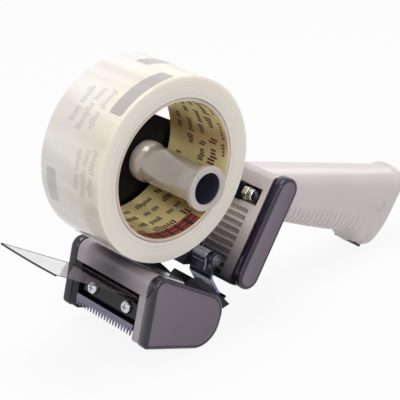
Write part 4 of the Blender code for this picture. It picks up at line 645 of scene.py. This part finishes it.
def make_core():
    """Core: gold lining inside, card at its ends and outside."""
    solid = bmesh.new()
    lip = CORE_WALL / 5
    profile = [
        (CORE_BORE_RADIUS, -HALF_TAPE + lip, 0), (CORE_BORE_RADIUS, 0, 0),
        (CORE_BORE_RADIUS, HALF_TAPE - lip, 1), (CORE_BORE_RADIUS + lip, HALF_TAPE, 1),
        (CORE_OUTER_RADIUS - lip, HALF_TAPE, 1), (CORE_OUTER_RADIUS, HALF_TAPE - lip, 1),
        (CORE_OUTER_RADIUS, -HALF_TAPE + lip, 1), (CORE_OUTER_RADIUS - lip, -HALF_TAPE, 1),
        (CORE_BORE_RADIUS + lip, -HALF_TAPE, 1),
    ]
    add_turned(solid, profile, 0, 0)
    put("core_of_roll", solid, [M_LINING, M_CARD], "tape", ["tape_core"])


# Print on the roll and in its core. Angles are in degrees and lengths along Y in millimetres. Marks
# are as wide and as far apart as these shares of a gap say.
MARK_WIDTH, MARK_STEP, WORD_SPACE, PHRASE_SPACE = 1.3, 2.0, 2.6, 4
MARK_HEIGHTS = ((0.0, 0.72), (0.0, 1.0), (0.0, 0.70), (0.0, 0.74), (-0.25, 0.72), (0.0, 0.68),
                (0.0, 1.0))
# Start, end, low and high of the boxes
OUTER_BOXES = ((105, 148, -22, -12.5), (66, 104, 0.5, 10.5), (262, 304, -20, -10.5),
               (322, 360, 3, 12.5), (12, 46, -17, -8))
PALE_BOXES, BOX_CORNER = ((192, 214, 11, 19),), 0.8
# Start, low, line pitch and mark height of the blocks of marks
OUTER_BLOCKS = ((134, -8, 7.6, 4.4), (171, -19, 5.8, 4.0), (236, 2, 5.8, 4.0), (20, 5, 5.8, 4.0))
OUTER_WORDS, OUTER_GAP, LINE_SHIFT = ((9, 7), (6, 11), (8, 6)), 0.8, 1.5
# Gap, and low and height of each row, on the core's lining
LINING_ROWS = (("core_marks", M_INK, 1.05, ((-5.0, 4.4), (4.4, 4.8), (13.6, 4.4))),
               ("core_marks_red", M_INK_RED, 1.45, ((-14.2, 5.6), (-21.2, 2.4))))
LINING_WORDS, LINING_END, ROW_SHIFT = ((5, 2), (4, 6), (3, 3), (8,), (2, 5)), 345, 11.0
BAND_START, BAND_END, BAND_CLEARANCE, BAND_PITCH, BAR_WIDTH = 196, 316, 40, 10, 2.6
BAND_NEAR, BAND_WIDTH = -HALF_TAPE + 0.6 * MM, 8.6 * MM
BAND_LINES = ((0.0, 0.4), (2.3, 1.2), (5.6, 1.2), (8.3, 0.3))


def add_patch(solid, radius, start, end, low, high, corner=0.0):
    """Sheet on a cylinder between two angles in degrees, its corners rounded where asked."""
    steps = max(2, int((end - start) / 2))
    rows = []
    for step in range(steps + 1):
        share = step / steps
        angle = math.radians(start + (end - start) * share)
        trim = 0.0
        if corner:
            from_end = min(share, 1 - share) * math.radians(end - start) * radius
            trim = corner * (1 - math.sqrt(1 - (1 - min(from_end / corner, 1.0)) ** 2))
        rows.append([solid.verts.new((radius * math.cos(angle), y, radius * math.sin(angle)))
                     for y in (low + trim, high - trim)])
    for before, after in zip(rows, rows[1:]):
        solid.faces.new((before[0], before[1], after[1], after[0]))


def add_marks(solid, radius, start, y, height, spans, gap):
    """Row of plain upright marks on a cylinder, uneven in height, of the size of small print."""
    angle = start
    for count in spans:
        for number in range(count):
            low, high = MARK_HEIGHTS[(number * 5 + count * 3) % len(MARK_HEIGHTS)]
            add_patch(solid, radius, angle, angle + MARK_WIDTH * gap, y + low * height,
                      y + high * height)
            angle += MARK_STEP * gap
        angle += WORD_SPACE * gap


def make_outer_print():
    """Plain printed boxes and rows of marks on the outer turns, with nothing written in them."""
    radius = ROLL_RADIUS + SKIN
    boxes, pale = bmesh.new(), bmesh.new()
    for solid, rows in ((boxes, OUTER_BOXES), (pale, PALE_BOXES)):
        for start, end, low, high in rows:
            add_patch(solid, radius, start, end, low * MM, high * MM, BOX_CORNER * MM)
    put("roll_print", boxes, [M_PRINT], "tape")
    for start, low, pitch, height in OUTER_BLOCKS:
        for line, spans in enumerate(OUTER_WORDS):
            add_marks(pale, radius, start + LINE_SHIFT * line, (low + line * pitch) * MM,
                      height * MM, spans, OUTER_GAP)
    put("roll_marks", pale, [M_PRINT_PALE], "tape")


def make_inner_print():
    """Plain marks in rows, and a plain striped band on the lower part of the core's lining."""
    radius = CORE_BORE_RADIUS - SKIN
    for name, material, gap, rows in LINING_ROWS:
        marks = bmesh.new()
        for row, (low, height) in enumerate(rows):
            off_band = low * MM > BAND_NEAR + BAND_WIDTH
            angle, index = ROW_SHIFT * row, row
            while angle < LINING_END + ROW_SHIFT * row:
                spans = LINING_WORDS[index % len(LINING_WORDS)]
                if off_band or not BAND_START - BAND_CLEARANCE < angle % 360 < BAND_END:
                    add_marks(marks, radius, angle, low * MM, height * MM, spans, gap)
                angle += (MARK_STEP * sum(spans) + WORD_SPACE * len(spans) + PHRASE_SPACE) * gap
                index += 1
        put(name, marks, [material], "tape")
    band = bmesh.new()
    add_patch(band, radius, BAND_START, BAND_END, BAND_NEAR, BAND_NEAR + BAND_WIDTH)
    put("core_band", band, [M_BAND], "tape")
    lines = bmesh.new()
    for start, thickness in BAND_LINES:
        low = BAND_NEAR + start * MM
        add_patch(lines, radius - SKIN, BAND_START, BAND_END, low, low + thickness * MM)
    for angle in range(BAND_START, BAND_END, BAND_PITCH):
        add_patch(lines, radius - SKIN, angle, angle + BAR_WIDTH, BAND_NEAR, BAND_NEAR + BAND_WIDTH)
    put("core_band_lines", lines, [M_INK], "tape")


# Hub: radii in millimetres with their distance from the far end, then from the flange's back

HUB_FAR = ((8.9, 3.2), (2.8, 3.2), (2.8, 0.0), (11.2, 0.0), (12.0, 0.8), (12.0, 5.2), (11.7, 6.5),
           (11.05, 8.3), (10.9, 9.5))
HUB_WAIST = ((10.9, 3.0), (11.0, 2.4), (11.5, 1.6), (11.5, 0.0))
HUB_BORE, HUB_FLANGE, FLANGE_DEPTH, HUB_SOFT = 8.9 * MM, 12.9 * MM, 2.6 * MM, 0.8 * MM
HUB_SHADE_DEPTH, HUB_STEPS = 6.0 * MM, 128


def make_hub():
    """Flanged hub with soft edges, and painted shade in its bore."""
    low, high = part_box("hub_sleeve")
    near, back = low.y, low.y + FLANGE_DEPTH
    rim = HUB_FLANGE - HUB_SOFT
    profile = [(radius * MM, high.y - depth * MM, 0) for radius, depth in HUB_FAR]
    profile += [(radius * MM, back + reach * MM, 0) for radius, reach in HUB_WAIST]
    profile += [(rim, back, 0)]
    profile += round_edge(HUB_FLANGE, back + HUB_SOFT, rim, back)[::-1][1:]
    profile[-1] = (HUB_FLANGE, back - HUB_SOFT / 2, 0)
    profile += round_edge(HUB_FLANGE, near + HUB_SOFT, rim, near)
    # The first stretch of the bore gets painted shade
    profile += [(HUB_BORE + HUB_SOFT, near, 0),
                (HUB_BORE + HUB_SOFT / 4, near + HUB_SOFT / 4, 0),
                (HUB_BORE, near + HUB_SOFT, 1), (HUB_BORE, near + HUB_SHADE_DEPTH, 1)]
    solid = bmesh.new()
    add_turned(solid, profile, HUB.x, HUB.z, HUB_STEPS)
    put("hub_turned", solid, [M_HUB, M_HUB_BORE_SHADE], "hub", ["hub_sleeve"], 50)


# Covers

HEAD_CORNERS = [(x * MM, z * MM, r * MM) for x, z, r in (
    (-7.60, -53.73, 6.74), (49.58, -69.78, 14.0), (47.51, -99.72, 15.0), (-5.02, -96.39, 2.81))]
FACE_TOP_X, FACE_TOP_Z, FACE_LEAN = 71.4 * MM, -1.5 * MM, 0.285
CAP_SETBACK, CAP_TOP_Z, CAP_BOTTOM_Z, CAP_RADIUS = 8.6 * MM, -8.0 * MM, -57.7 * MM, 8.0 * MM
CAP_ROUNDNESS = 0.98
COVER_WALL, COVER_EDGE, COVER_LIP = 2.2 * MM, 1.7 * MM, 0.25 * MM
COVER_RIM, COVER_FACE, COVER_STEP = 2.2 * MM, 2.4 * MM, 0.12 * MM
COVER_ARC, COVER_CORNER = 8, 14


def face_x(z):
    """X of the block's leaning front at a height."""
    return FACE_TOP_X + (z - FACE_TOP_Z) * FACE_LEAN


def end_cap_corners():
    """Corners of the block's covers."""
    top, bottom = [Vector((face_x(z) + CAP_SETBACK, z)) for z in (CAP_TOP_Z, CAP_BOTTOM_Z)]
    along = (top - bottom).normalized()
    across = Vector((along.y, -along.x))
    corners = []
    for end, sign in ((top, 1), (bottom, -1)):
        for side in (sign, -sign):
            corner = end + (along * sign - across * side) * CAP_RADIUS
            corners.append((corner.x, corner.y, CAP_RADIUS * CAP_ROUNDNESS))
    return corners


def make_cover(node, corners, body):
    """Cover with a glossy rolled rim painted dark as a reflection of dark surroundings, and a satin face that
    steps down just inside it.
    """
    low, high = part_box(node)
    outer, inner = (low.y, high.y) if low.y < 0 else (high.y, low.y)
    side = math.copysign(1, outer)
    levels = [(COVER_WALL, outer - side * COVER_WALL), (COVER_WALL, inner), (COVER_LIP, inner),
              (0.0, inner + side * COVER_LIP)]
    for step in range(COVER_ARC + 1):
        angle = math.pi / 2 * step / COVER_ARC
        levels.append((COVER_EDGE * (1 - math.cos(angle)),
                       outer - side * COVER_EDGE * (1 - math.sin(angle))))
    levels += [(COVER_RIM, outer), (COVER_FACE, outer - side * COVER_STEP)]
    loops = [[(p.x, y, p.y) for p in rounded(inset(corners, d) if d else corners, COVER_CORNER)]
             for d, y in levels]
    solid = bmesh.new()
    # The rim, side wall and inside get the painted dark reflection; the face keeps the cover's plum
    add_loft(solid, loops).material_index = 1
    put(node + "_cover", solid, [M_CAP_RIM_REFLECTION, M_CAP_FACE], body, [node], 50)


# Block

BLOCK_TOP, BLOCK_FOOT, BLOCK_TOE_Z, BLOCK_DEPTH = -1.5 * MM, -67.5 * MM, -63.3 * MM, 16.4 * MM
LIP_RADIUS, BACK_RADIUS, TOE_RADIUS = 3.0 * MM, 8.0 * MM, 2.0 * MM
BLOCK_SOFT, SOFT_STEPS = 0.9 * MM, 5
SLOT_TOP, SLOT_HEIGHT, SLOT_DEPTH, SLOT_SOFT = -10.2 * MM, 9.6 * MM, 10.5 * MM, 0.4 * MM
SLOT_NEAR_Y, SLOT_FAR_Y = -25.9 * MM, 18.0 * MM
RIB_TOP, RIB_PITCH, RIB_THICKNESS, RIB_COUNT = -21.8 * MM, 3.97 * MM, 1.51 * MM, 10
RIB_NEAR_Y, RIB_FAR_Y, RIB_DEPTH, RIB_SOFT = -22.3 * MM, 21.5 * MM, 2.6 * MM, 0.5 * MM


def block_loop(y, with_slot, with_ribs, shrink=0.0):
    """Outline of the block at a Y, with its slot and grooves closed up where they don't reach."""
    corners = [
        (face_x(BLOCK_TOP), BLOCK_TOP, LIP_RADIUS),
        (face_x(BLOCK_TOP) + BLOCK_DEPTH, BLOCK_TOP, BACK_RADIUS),
        (face_x(BLOCK_FOOT) + BLOCK_DEPTH, BLOCK_FOOT, BACK_RADIUS),
        (face_x(BLOCK_TOE_Z), BLOCK_TOE_Z, TOE_RADIUS),
    ]
    loop = [(p.x, y, p.y) for p in rounded(inset(corners, shrink) if shrink else corners, 8)]
    notches = []
    for number in reversed(range(RIB_COUNT)):
        top = RIB_TOP - RIB_THICKNESS - number * RIB_PITCH
        notches.append((top - (RIB_PITCH - RIB_THICKNESS), top, RIB_DEPTH, RIB_SOFT, with_ribs))
    notches.append((SLOT_TOP - SLOT_HEIGHT, SLOT_TOP, SLOT_DEPTH, SLOT_SOFT, with_slot))
    for low, high, depth, soft, is_open in notches:
        path = [
            (face_x(low - depth), low - depth, 0), (face_x(low), low, soft),
            (face_x(low) + depth, low, soft), (face_x(high) + depth, high, soft),
            (face_x(high), high, soft), (face_x(high + depth), high + depth, 0),
        ]
        for p in rounded(path, 4)[1:-1]:
            x = p.x if is_open else face_x(p.y) + shrink * math.hypot(1, FACE_LEAN)
            loop.append((x, y, p.y))
    return loop


def make_block():
    """Block with soft-edged ribs between its grooves, the slot and a near end that dips in."""
    low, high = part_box("body_block")
    loops = []
    for step in range(SOFT_STEPS + 1):
        dip = BLOCK_SOFT * (1 - math.sin(math.pi / 2 * step / SOFT_STEPS))
        loops.append(block_loop(low.y + dip, False, False, dip))
    for y, before, after in (
            (SLOT_NEAR_Y, (False, False), (True, False)), (RIB_NEAR_Y, (True, False), (True, True)),
            (SLOT_FAR_Y, (True, True), (False, True)), (RIB_FAR_Y, (False, True), (False, False))):
        loops += [block_loop(y, *before), block_loop(y, *after)]
    loops.append(block_loop(high.y, False, False))
    solid = bmesh.new()
    add_loft(solid, loops)
    bmesh.ops.remove_doubles(solid, verts=solid.verts, dist=WELD)
    bmesh.ops.dissolve_degenerate(solid, edges=solid.edges, dist=WELD)
    put("block_casting", solid, [M_BLOCK], "frame", ["body_block"], 30)


# Grip

GRIP_START_X, GRIP_LENGTH = 82.83 * MM, 130.7 * MM
GRIP_TOP, GRIP_HALF_WIDTH, GRIP_DROP = -2.7 * MM, 15.5 * MM, 52.1 * MM
GRIP_LEAN_MID_Z, GRIP_LEAN_RUN, GRIP_ROUNDNESS = -20.0 * MM, 26.0 * MM, 0.74
GRIP_LOWEST, GRIP_LAP, GRIP_POINTS = 0.984, -0.02, 128
GRIP_SHARES = (
    (0.000, 0.000, 0.580, 0.97), (0.100, 0.000, 0.610, 0.99), (0.225, 0.000, 0.652, 1.00),
    (0.392, 0.000, 0.712, 1.00), (0.560, 0.000, 0.764, 1.00), (0.712, 0.000, 0.812, 1.00),
    (0.728, 0.000, 0.845, 1.00), (0.748, 0.000, 0.905, 1.00), (0.800, 0.000, 0.955, 1.00),
    (0.848, 0.000, 1.000, 0.99), (0.872, 0.000, 0.985, 0.98), (0.902, 0.000, 0.900, 0.97),
    (0.925, 0.000, 0.780, 0.96), (0.950, -0.025, 0.560, 0.94), (0.975, -0.010, 0.330, 0.90),
    (0.990, 0.040, 0.210, 0.78), (1.000, 0.100, 0.150, 0.60),
)
RIDGE_COUNT, RIDGE_PITCH, RIDGE_DEPTH, RIDGE_START = 19, 4.3 * MM, 1.4 * MM, 0.085
RIDGE_FADE, RIDGE_FADE_RATE = -0.12, 4
PLAIN_STATIONS, BUTT_STATIONS, BUTT_CROWDING = 8, 80, 1.5
RIDGE_PROFILE = ((0.0, 0.0), (0.25, 0.05), (0.38, 0.22), (0.45, 0.65), (0.5, 1.0), (0.55, 0.65),
                 (0.62, 0.22), (0.75, 0.05))


def smooth_table(table, share):
    """Smooth value of each column of a table at a share of its length."""
    keys = np.array([row[0] for row in table])
    values = np.array([row[1:] for row in table])
    slopes = np.gradient(values, keys, axis=0)
    index = int(np.clip(np.searchsorted(keys, share) - 1, 0, len(keys) - 2))
    step = keys[index + 1] - keys[index]
    t = (share - keys[index]) / step
    limit = 3 * np.abs((values[index + 1] - values[index]) / step)
    first = np.clip(slopes[index], -limit, limit)
    second = np.clip(slopes[index + 1], -limit, limit)
    rise = 3 * t ** 2 - 2 * t ** 3
    return (values[index] * (1 - rise) + values[index + 1] * rise
            + step * (first * (t ** 3 - 2 * t ** 2 + t) + second * (t ** 3 - t ** 2)))


def block_back_x(z):
    """X of the block's back with its round upper edge, at a height."""
    straight = face_x(z) + BLOCK_DEPTH
    half = math.atan2(1, FACE_LEAN) / 2
    centre_x = face_x(BLOCK_TOP) + BLOCK_DEPTH - BACK_RADIUS / math.tan(half)
    rise = z - (BLOCK_TOP - BACK_RADIUS)
    reach = BACK_RADIUS + SEAT_GAP
    if rise < -BACK_RADIUS * math.sin(math.atan(FACE_LEAN)):
        return straight + SEAT_GAP
    return min(straight + SEAT_GAP, centre_x + math.sqrt(max(reach ** 2 - rise ** 2, 0.0)))


def make_grip():
    """Grip that laps over the block's round edge, with crisp finger grooves in its lower part."""
    pitch = RIDGE_PITCH / GRIP_LENGTH
    stations = [(GRIP_LAP, 0.0)]
    stations += [(step * RIDGE_START / PLAIN_STATIONS, 0.0) for step in range(PLAIN_STATIONS)]
    for number in range(RIDGE_COUNT):
        for part, depth in RIDGE_PROFILE:
            stations.append((RIDGE_START + (number + part) * pitch, depth * RIDGE_DEPTH))
    end = RIDGE_START + RIDGE_COUNT * pitch
    for number in range(BUTT_STATIONS + 1):
        stations.append((1 - (1 - end) * (1 - number / BUTT_STATIONS) ** BUTT_CROWDING, 0.0))
    loops = []
    for share, groove in stations:
        top, bottom, width = smooth_table(GRIP_SHARES, max(share, 0.0))
        bottom = min(bottom, GRIP_LOWEST)
        z_top, z_bottom = GRIP_TOP - top * GRIP_DROP, GRIP_TOP - bottom * GRIP_DROP
        middle, half_height = (z_top + z_bottom) / 2, (z_top - z_bottom) / 2
        half_width = GRIP_HALF_WIDTH * width
        lean = FACE_LEAN * max(0.0, 1 - share * GRIP_LENGTH / GRIP_LEAN_RUN)
        loop = []
        for step in range(GRIP_POINTS):
            angle = 2 * math.pi * step / GRIP_POINTS
            c, s = math.cos(angle), math.sin(angle)
            fade = min(max(RIDGE_FADE_RATE * (RIDGE_FADE - s) / (1 + RIDGE_FADE), 0.0), 1.0)
            pull = groove * fade
            y = (half_width - pull) * math.copysign(abs(c) ** GRIP_ROUNDNESS, c)
            z = middle + (half_height - pull) * math.copysign(abs(s) ** GRIP_ROUNDNESS, s)
            x = block_back_x(z) if share < 0 else \
                GRIP_START_X + share * GRIP_LENGTH + lean * (z - GRIP_LEAN_MID_Z)
            loop.append((x, y, z))
        loops.append(loop)
    solid = bmesh.new()
    add_loft(solid, loops)
    put("grip_moulding", solid, [M_GRIP], "frame", ["handle"], 60)


# Disc on the butt: its middle, how far its foot and rim stand out, and its profile over its radius
BOSS_PLACE, BOSS_RADIUS = Vector((192.0, -15.3, -24.2)) * MM, 3.9
BOSS_UNDER, BOSS_RIM = 0.5, -0.6
BOSS_PROFILE = ((None, BOSS_UNDER), (0.2, BOSS_UNDER), (0.1, 0.0), (-0.1, BOSS_RIM),
                (-0.5, BOSS_RIM), (-0.8, 0.0), (None, 0.0))


def make_boss():
    """Plain raised disc with a rim on the near side of the butt."""
    profile = [(0 if wider is None else (BOSS_RADIUS + wider) * MM, BOSS_PLACE.y + rise * MM, 0)
               for wider, rise in BOSS_PROFILE]
    solid = bmesh.new()
    add_turned(solid, profile, BOSS_PLACE.x, BOSS_PLACE.z, 64)
    put("grip_boss", solid, [M_GRIP], "frame", smooth=50)


# Spring

SPRING_WIRE, SPRING_COIL, SPRING_LEG = 0.6 * MM, 3.6 * MM, 7.0 * MM
SPRING_TURNS, TURN_STEPS, LEG_STEPS = 9, 40, 4


def make_spring():
    """Coil of eight and a half turns, as nine less half a turn, with its two legs."""
    low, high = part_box("torsion_spring")
    y_far, y_near = high.y - SPRING_WIRE, low.y + SPRING_WIRE
    points = [(PIVOT.x + SPRING_COIL, y_far, PIVOT.z + SPRING_LEG * (1 - step / LEG_STEPS))
              for step in range(LEG_STEPS)]
    count = SPRING_TURNS * TURN_STEPS
    for step in range(count - TURN_STEPS // 2 + 1):
        angle = 2 * math.pi * step / TURN_STEPS
        points.append((PIVOT.x + SPRING_COIL * math.cos(angle),
                       y_far + (y_near - y_far) * step / count,
                       PIVOT.z - SPRING_COIL * math.sin(angle)))
    x, y, z = points[-1]
    points += [(x, y, z - SPRING_LEG * step / LEG_STEPS) for step in range(1, LEG_STEPS + 1)]
    curve = bpy.data.curves.new("spring_coil", 'CURVE')
    curve.dimensions = '3D'
    curve.bevel_depth = SPRING_WIRE
    curve.bevel_resolution = 4
    curve.use_fill_caps = True
    spline = curve.splines.new('POLY')
    spline.points.add(len(points) - 1)
    for target, point in zip(spline.points, points):
        target.co = (*(TOOL @ Vector(point)), 1.0)
    curve.materials.append(M_WIRE)
    piece = add_object("spring_coil", curve)
    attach(piece, "frame")
    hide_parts("torsion_spring")


# Free film

TAPE_PITCH = math.radians(14.7)
SLIT = Vector((-8.5 * MM, 0, -70.6 * MM))
TAIL_LENGTH, WEB_END = 59.5 * MM, 3.2 * MM
TAIL_START, TAIL_CUP = SEAT_GAP - WEB_END, 0.25 * MM * 0.8
LONG_STEPS, CROSS_STEPS = 40, 24
FILM_HALF = 0.06 * MM
# Side, and how wide its dark edge is at the cut end and at the slit
TAIL_EDGES = ((-1, 0.9 * MM, 2.2 * MM), (1, 0.4 * MM, 0.6 * MM))
CUT_WIDTH, CUT_CURL, CUT_TOOTH = 0.6 * MM, 0.9 * MM, 0.25 * MM


def film_point(along, across):
    """Point of the tape's free end, straight along and slightly cupped across towards its end."""
    direction = Vector((-math.cos(TAPE_PITCH), 0, math.sin(TAPE_PITCH)))
    share = max(along, 0.0) / TAIL_LENGTH
    point = SLIT + direction * along
    point.z += TAIL_CUP * (2 * (across / HALF_TAPE) ** 2 - 1) * share * math.cos(TAPE_PITCH)
    point.y = across
    return point


def make_tail():
    """Free end of the tape, with its darker cut and slit edges."""
    places = [TAIL_START + (TAIL_LENGTH - TAIL_START) * i / LONG_STEPS
              for i in range(LONG_STEPS + 1)]
    solid = bmesh.new()
    rows = [[film_point(along, HALF_TAPE * (2 * j / CROSS_STEPS - 1))
             for j in range(CROSS_STEPS + 1)] for along in places]
    for offset in (Vector((0, 0, FILM_HALF)), Vector((0, 0, -FILM_HALF))):
        sheet = [[solid.verts.new(point + offset) for point in row] for row in rows]
        for low, high in zip(sheet, sheet[1:]):
            for j in range(CROSS_STEPS):
                solid.faces.new((low[j], low[j + 1], high[j + 1], high[j]))
    put("film_tail", solid, [M_FILM], "head", ["tape_tail"], 60)
    edges = bmesh.new()
    lift = Vector((0, 0, 2.2 * FILM_HALF))
    for side, cut_width, slit_width in TAIL_EDGES:
        loops = []
        for i, along in enumerate(places):
            width = cut_width + (slit_width - cut_width) * (1 - i / LONG_STEPS) ** 1.5
            outer = film_point(along, side * HALF_TAPE)
            inner = film_point(along, side * (HALF_TAPE - width))
            loops.append([outer + lift, inner + lift, inner - lift, outer - lift])
        add_loft(edges, loops)
    put("film_edges", edges, [M_FILM_EDGE], "head")
    cut = bmesh.new()
    lift = Vector((0, 0, 2.4 * FILM_HALF))
    loops = []
    for j in range(4 * CROSS_STEPS + 1):
        across = HALF_TAPE * (j / (2 * CROSS_STEPS) - 1)
        outer = film_point(TAIL_LENGTH, across)
        inner = film_point(TAIL_LENGTH - CUT_WIDTH, across)
        drop = Vector((0, 0, CUT_CURL - CUT_TOOTH * (j % 2)))
        loops.append([outer + lift, inner + lift, inner - lift, outer - lift - drop])
    add_loft(cut, loops)
    put("film_cut", cut, [M_FILM_CUT], "head")


# Setting

def set_camera():
    """Camera at the photograph's viewing angle."""
    data = bpy.data.cameras.new("camera")
    data.lens = CAMERA_LENS
    data.sensor_width = CAMERA_SENSOR
    data.sensor_fit = 'HORIZONTAL'
    data.clip_end = 20
    camera = add_object("camera", data)
    ahead = CAMERA_AHEAD.normalized()
    right = (CAMERA_RIGHT - ahead * CAMERA_RIGHT.dot(ahead)).normalized()
    up = right.cross(ahead)
    turn = Matrix((right, up, -ahead)).transposed().to_4x4()
    camera.matrix_world = TOOL @ Matrix.Translation(CAMERA_PLACE) @ turn
    bpy.context.scene.camera = camera


# Name, place, size and power
LIGHTS = (
    ("top_light", (-0.10, 0.10, 1.1), 0.7, 7.4), ("left_light", (-1.0, 0.0, 0.55), 0.5, 1.4),
    ("front_light", (-0.45, -1.05, 0.7), 0.45, 3.7), ("right_light", (1.0, 0.2, 0.65), 0.6, 2.2),
)
LIGHT_TARGET = Vector((0, 0, 0.07))
FLOOR_REACH, FLOOR_GLOW, WORLD_LIGHT = 3.0, 0.90, 0.38


def add_light(name, place, size, power):
    """Square soft white light that looks at the part."""
    data = bpy.data.lights.new(name, 'AREA')
    data.shape = 'SQUARE'
    data.size = size
    data.energy = power
    light = add_object(name, data)
    light.location = place
    light.rotation_euler = (LIGHT_TARGET - Vector(place)).to_track_quat('-Z', 'Y').to_euler()


def any_seen(tree):
    """Factor that is one where the camera, a reflection or clear material looks."""
    path = tree.nodes.new("ShaderNodeLightPath")
    total = path.outputs["Is Camera Ray"]
    for kind in ("Is Glossy Ray", "Is Transmission Ray"):
        total = combined(tree, 'MAXIMUM', total, path.outputs[kind])
    return total


def make_floor():
    """Wide floor that looks white and lights the part as a pale floor does."""
    solid = bmesh.new()
    solid.faces.new([solid.verts.new((x * FLOOR_REACH, y * FLOOR_REACH, 0))
                     for x, y in ((-1, -1), (1, -1), (1, 1), (-1, 1))])
    mesh_data = as_mesh("floor", solid)
    floor = add_object("floor", mesh_data)
    material, tree, shader = new_material("floor_paint")
    fill(tree, shader, {"Base Color": FLOOR, "Roughness": 0.9, "Specular IOR Level": 0.1})
    glow = add_node(tree, "Emission", {"Color": WHITE})
    seen = combined(tree, 'MULTIPLY', any_seen(tree), FLOOR_GLOW)
    mix = add_node(tree, "MixShader", {"Fac": seen, 1: shader.outputs["BSDF"],
                                       2: glow.outputs["Emission"]})
    tree.links.new(mix.outputs["Shader"], tree.nodes["Material Output"].inputs["Surface"])
    mesh_data.materials.append(material)


def make_setting():
    """Floor, a surround that looks white but lights the part less, and soft lights round it."""
    make_floor()
    world = bpy.data.worlds.new("surround")
    bpy.context.scene.world = world
    world.use_nodes = True
    tree = world.node_tree
    level = spread(tree, any_seen(tree), WORLD_LIGHT, 1.0, 0.0, 1.0)
    fill(tree, tree.nodes["Background"], {"Color": WHITE, "Strength": level})
    for row in LIGHTS:
        add_light(*row)
    bpy.context.scene.view_settings.view_transform = 'Standard'


set_camera()
make_setting()
make_roll()
make_core()
make_outer_print()
make_inner_print()
make_hub()
for cover in ("head_cap_near", "head_cap_far"):
    make_cover(cover, HEAD_CORNERS, "head")
for cover in ("end_cap_near", "end_cap_far"):
    make_cover(cover, end_cap_corners(), "frame")
make_block()
make_grip()
make_boss()
make_spring()
make_tail()
# CAD nodes that are detailed as they are: node, material and edge in millimetres
DRESSED = (
    ("butt_plug", M_BLACK_AND_SHADE, 0.30), ("side_plate", M_PLATE, 0.30),
    ("plate_screw_upper", M_STEEL, 0.15), ("plate_screw_lower", M_STEEL, 0.15),
    ("hub_screw", M_STEEL, 0.15), ("hub_nut", M_STEEL, 0.20), ("slot_block", M_BLACK_AND_SHADE, 0.30),
    ("slot_bolt", M_STEEL, 0.15), ("slot_nut", M_NUT, 0.35), ("slot_collar", M_STEEL, 0.10),
    ("slot_dome", M_DOME_REFLECTION, 0.0), ("pivot_bar", M_BAR, 0.25), ("pivot_pin", M_PIN, 0.15),
    ("pivot_clip", M_PIN, 0.12), ("head_housing", M_HOUSING, 0.45), ("head_frame", M_PLATE, 0.20),
    ("pivot_strap", M_STRAP, 0.20), ("strap_rivet_near", M_STEEL, 0.10),
    ("strap_rivet_far", M_STEEL, 0.10), ("blade", M_BLADE, 0.05), ("blade_support", M_BLACK_AND_SHADE, 0.25),
    ("blade_clamp", M_CLAMP, 0.20), ("blade_screw_near", M_STEEL, 0.12),
    ("blade_screw_far", M_STEEL, 0.12), ("roller_axle", M_STEEL, 0.20),
    ("roller_core", M_HOUSING, 0.20), ("roller_tyre", M_RUBBER, 0.20), ("tape_web", M_FILM, 0.0),
)
for dressed_node, dressed_material, dressed_edge in DRESSED:
    dressed = dress(dressed_node, dressed_material, dressed_edge * MM)
    if dressed_node == "head_housing":
        # Painted shade: the housing's inner walls and far front post are made black
        darken(dressed, M_BLACK_AND_SHADE, inside_head, HEAD_CUTS)
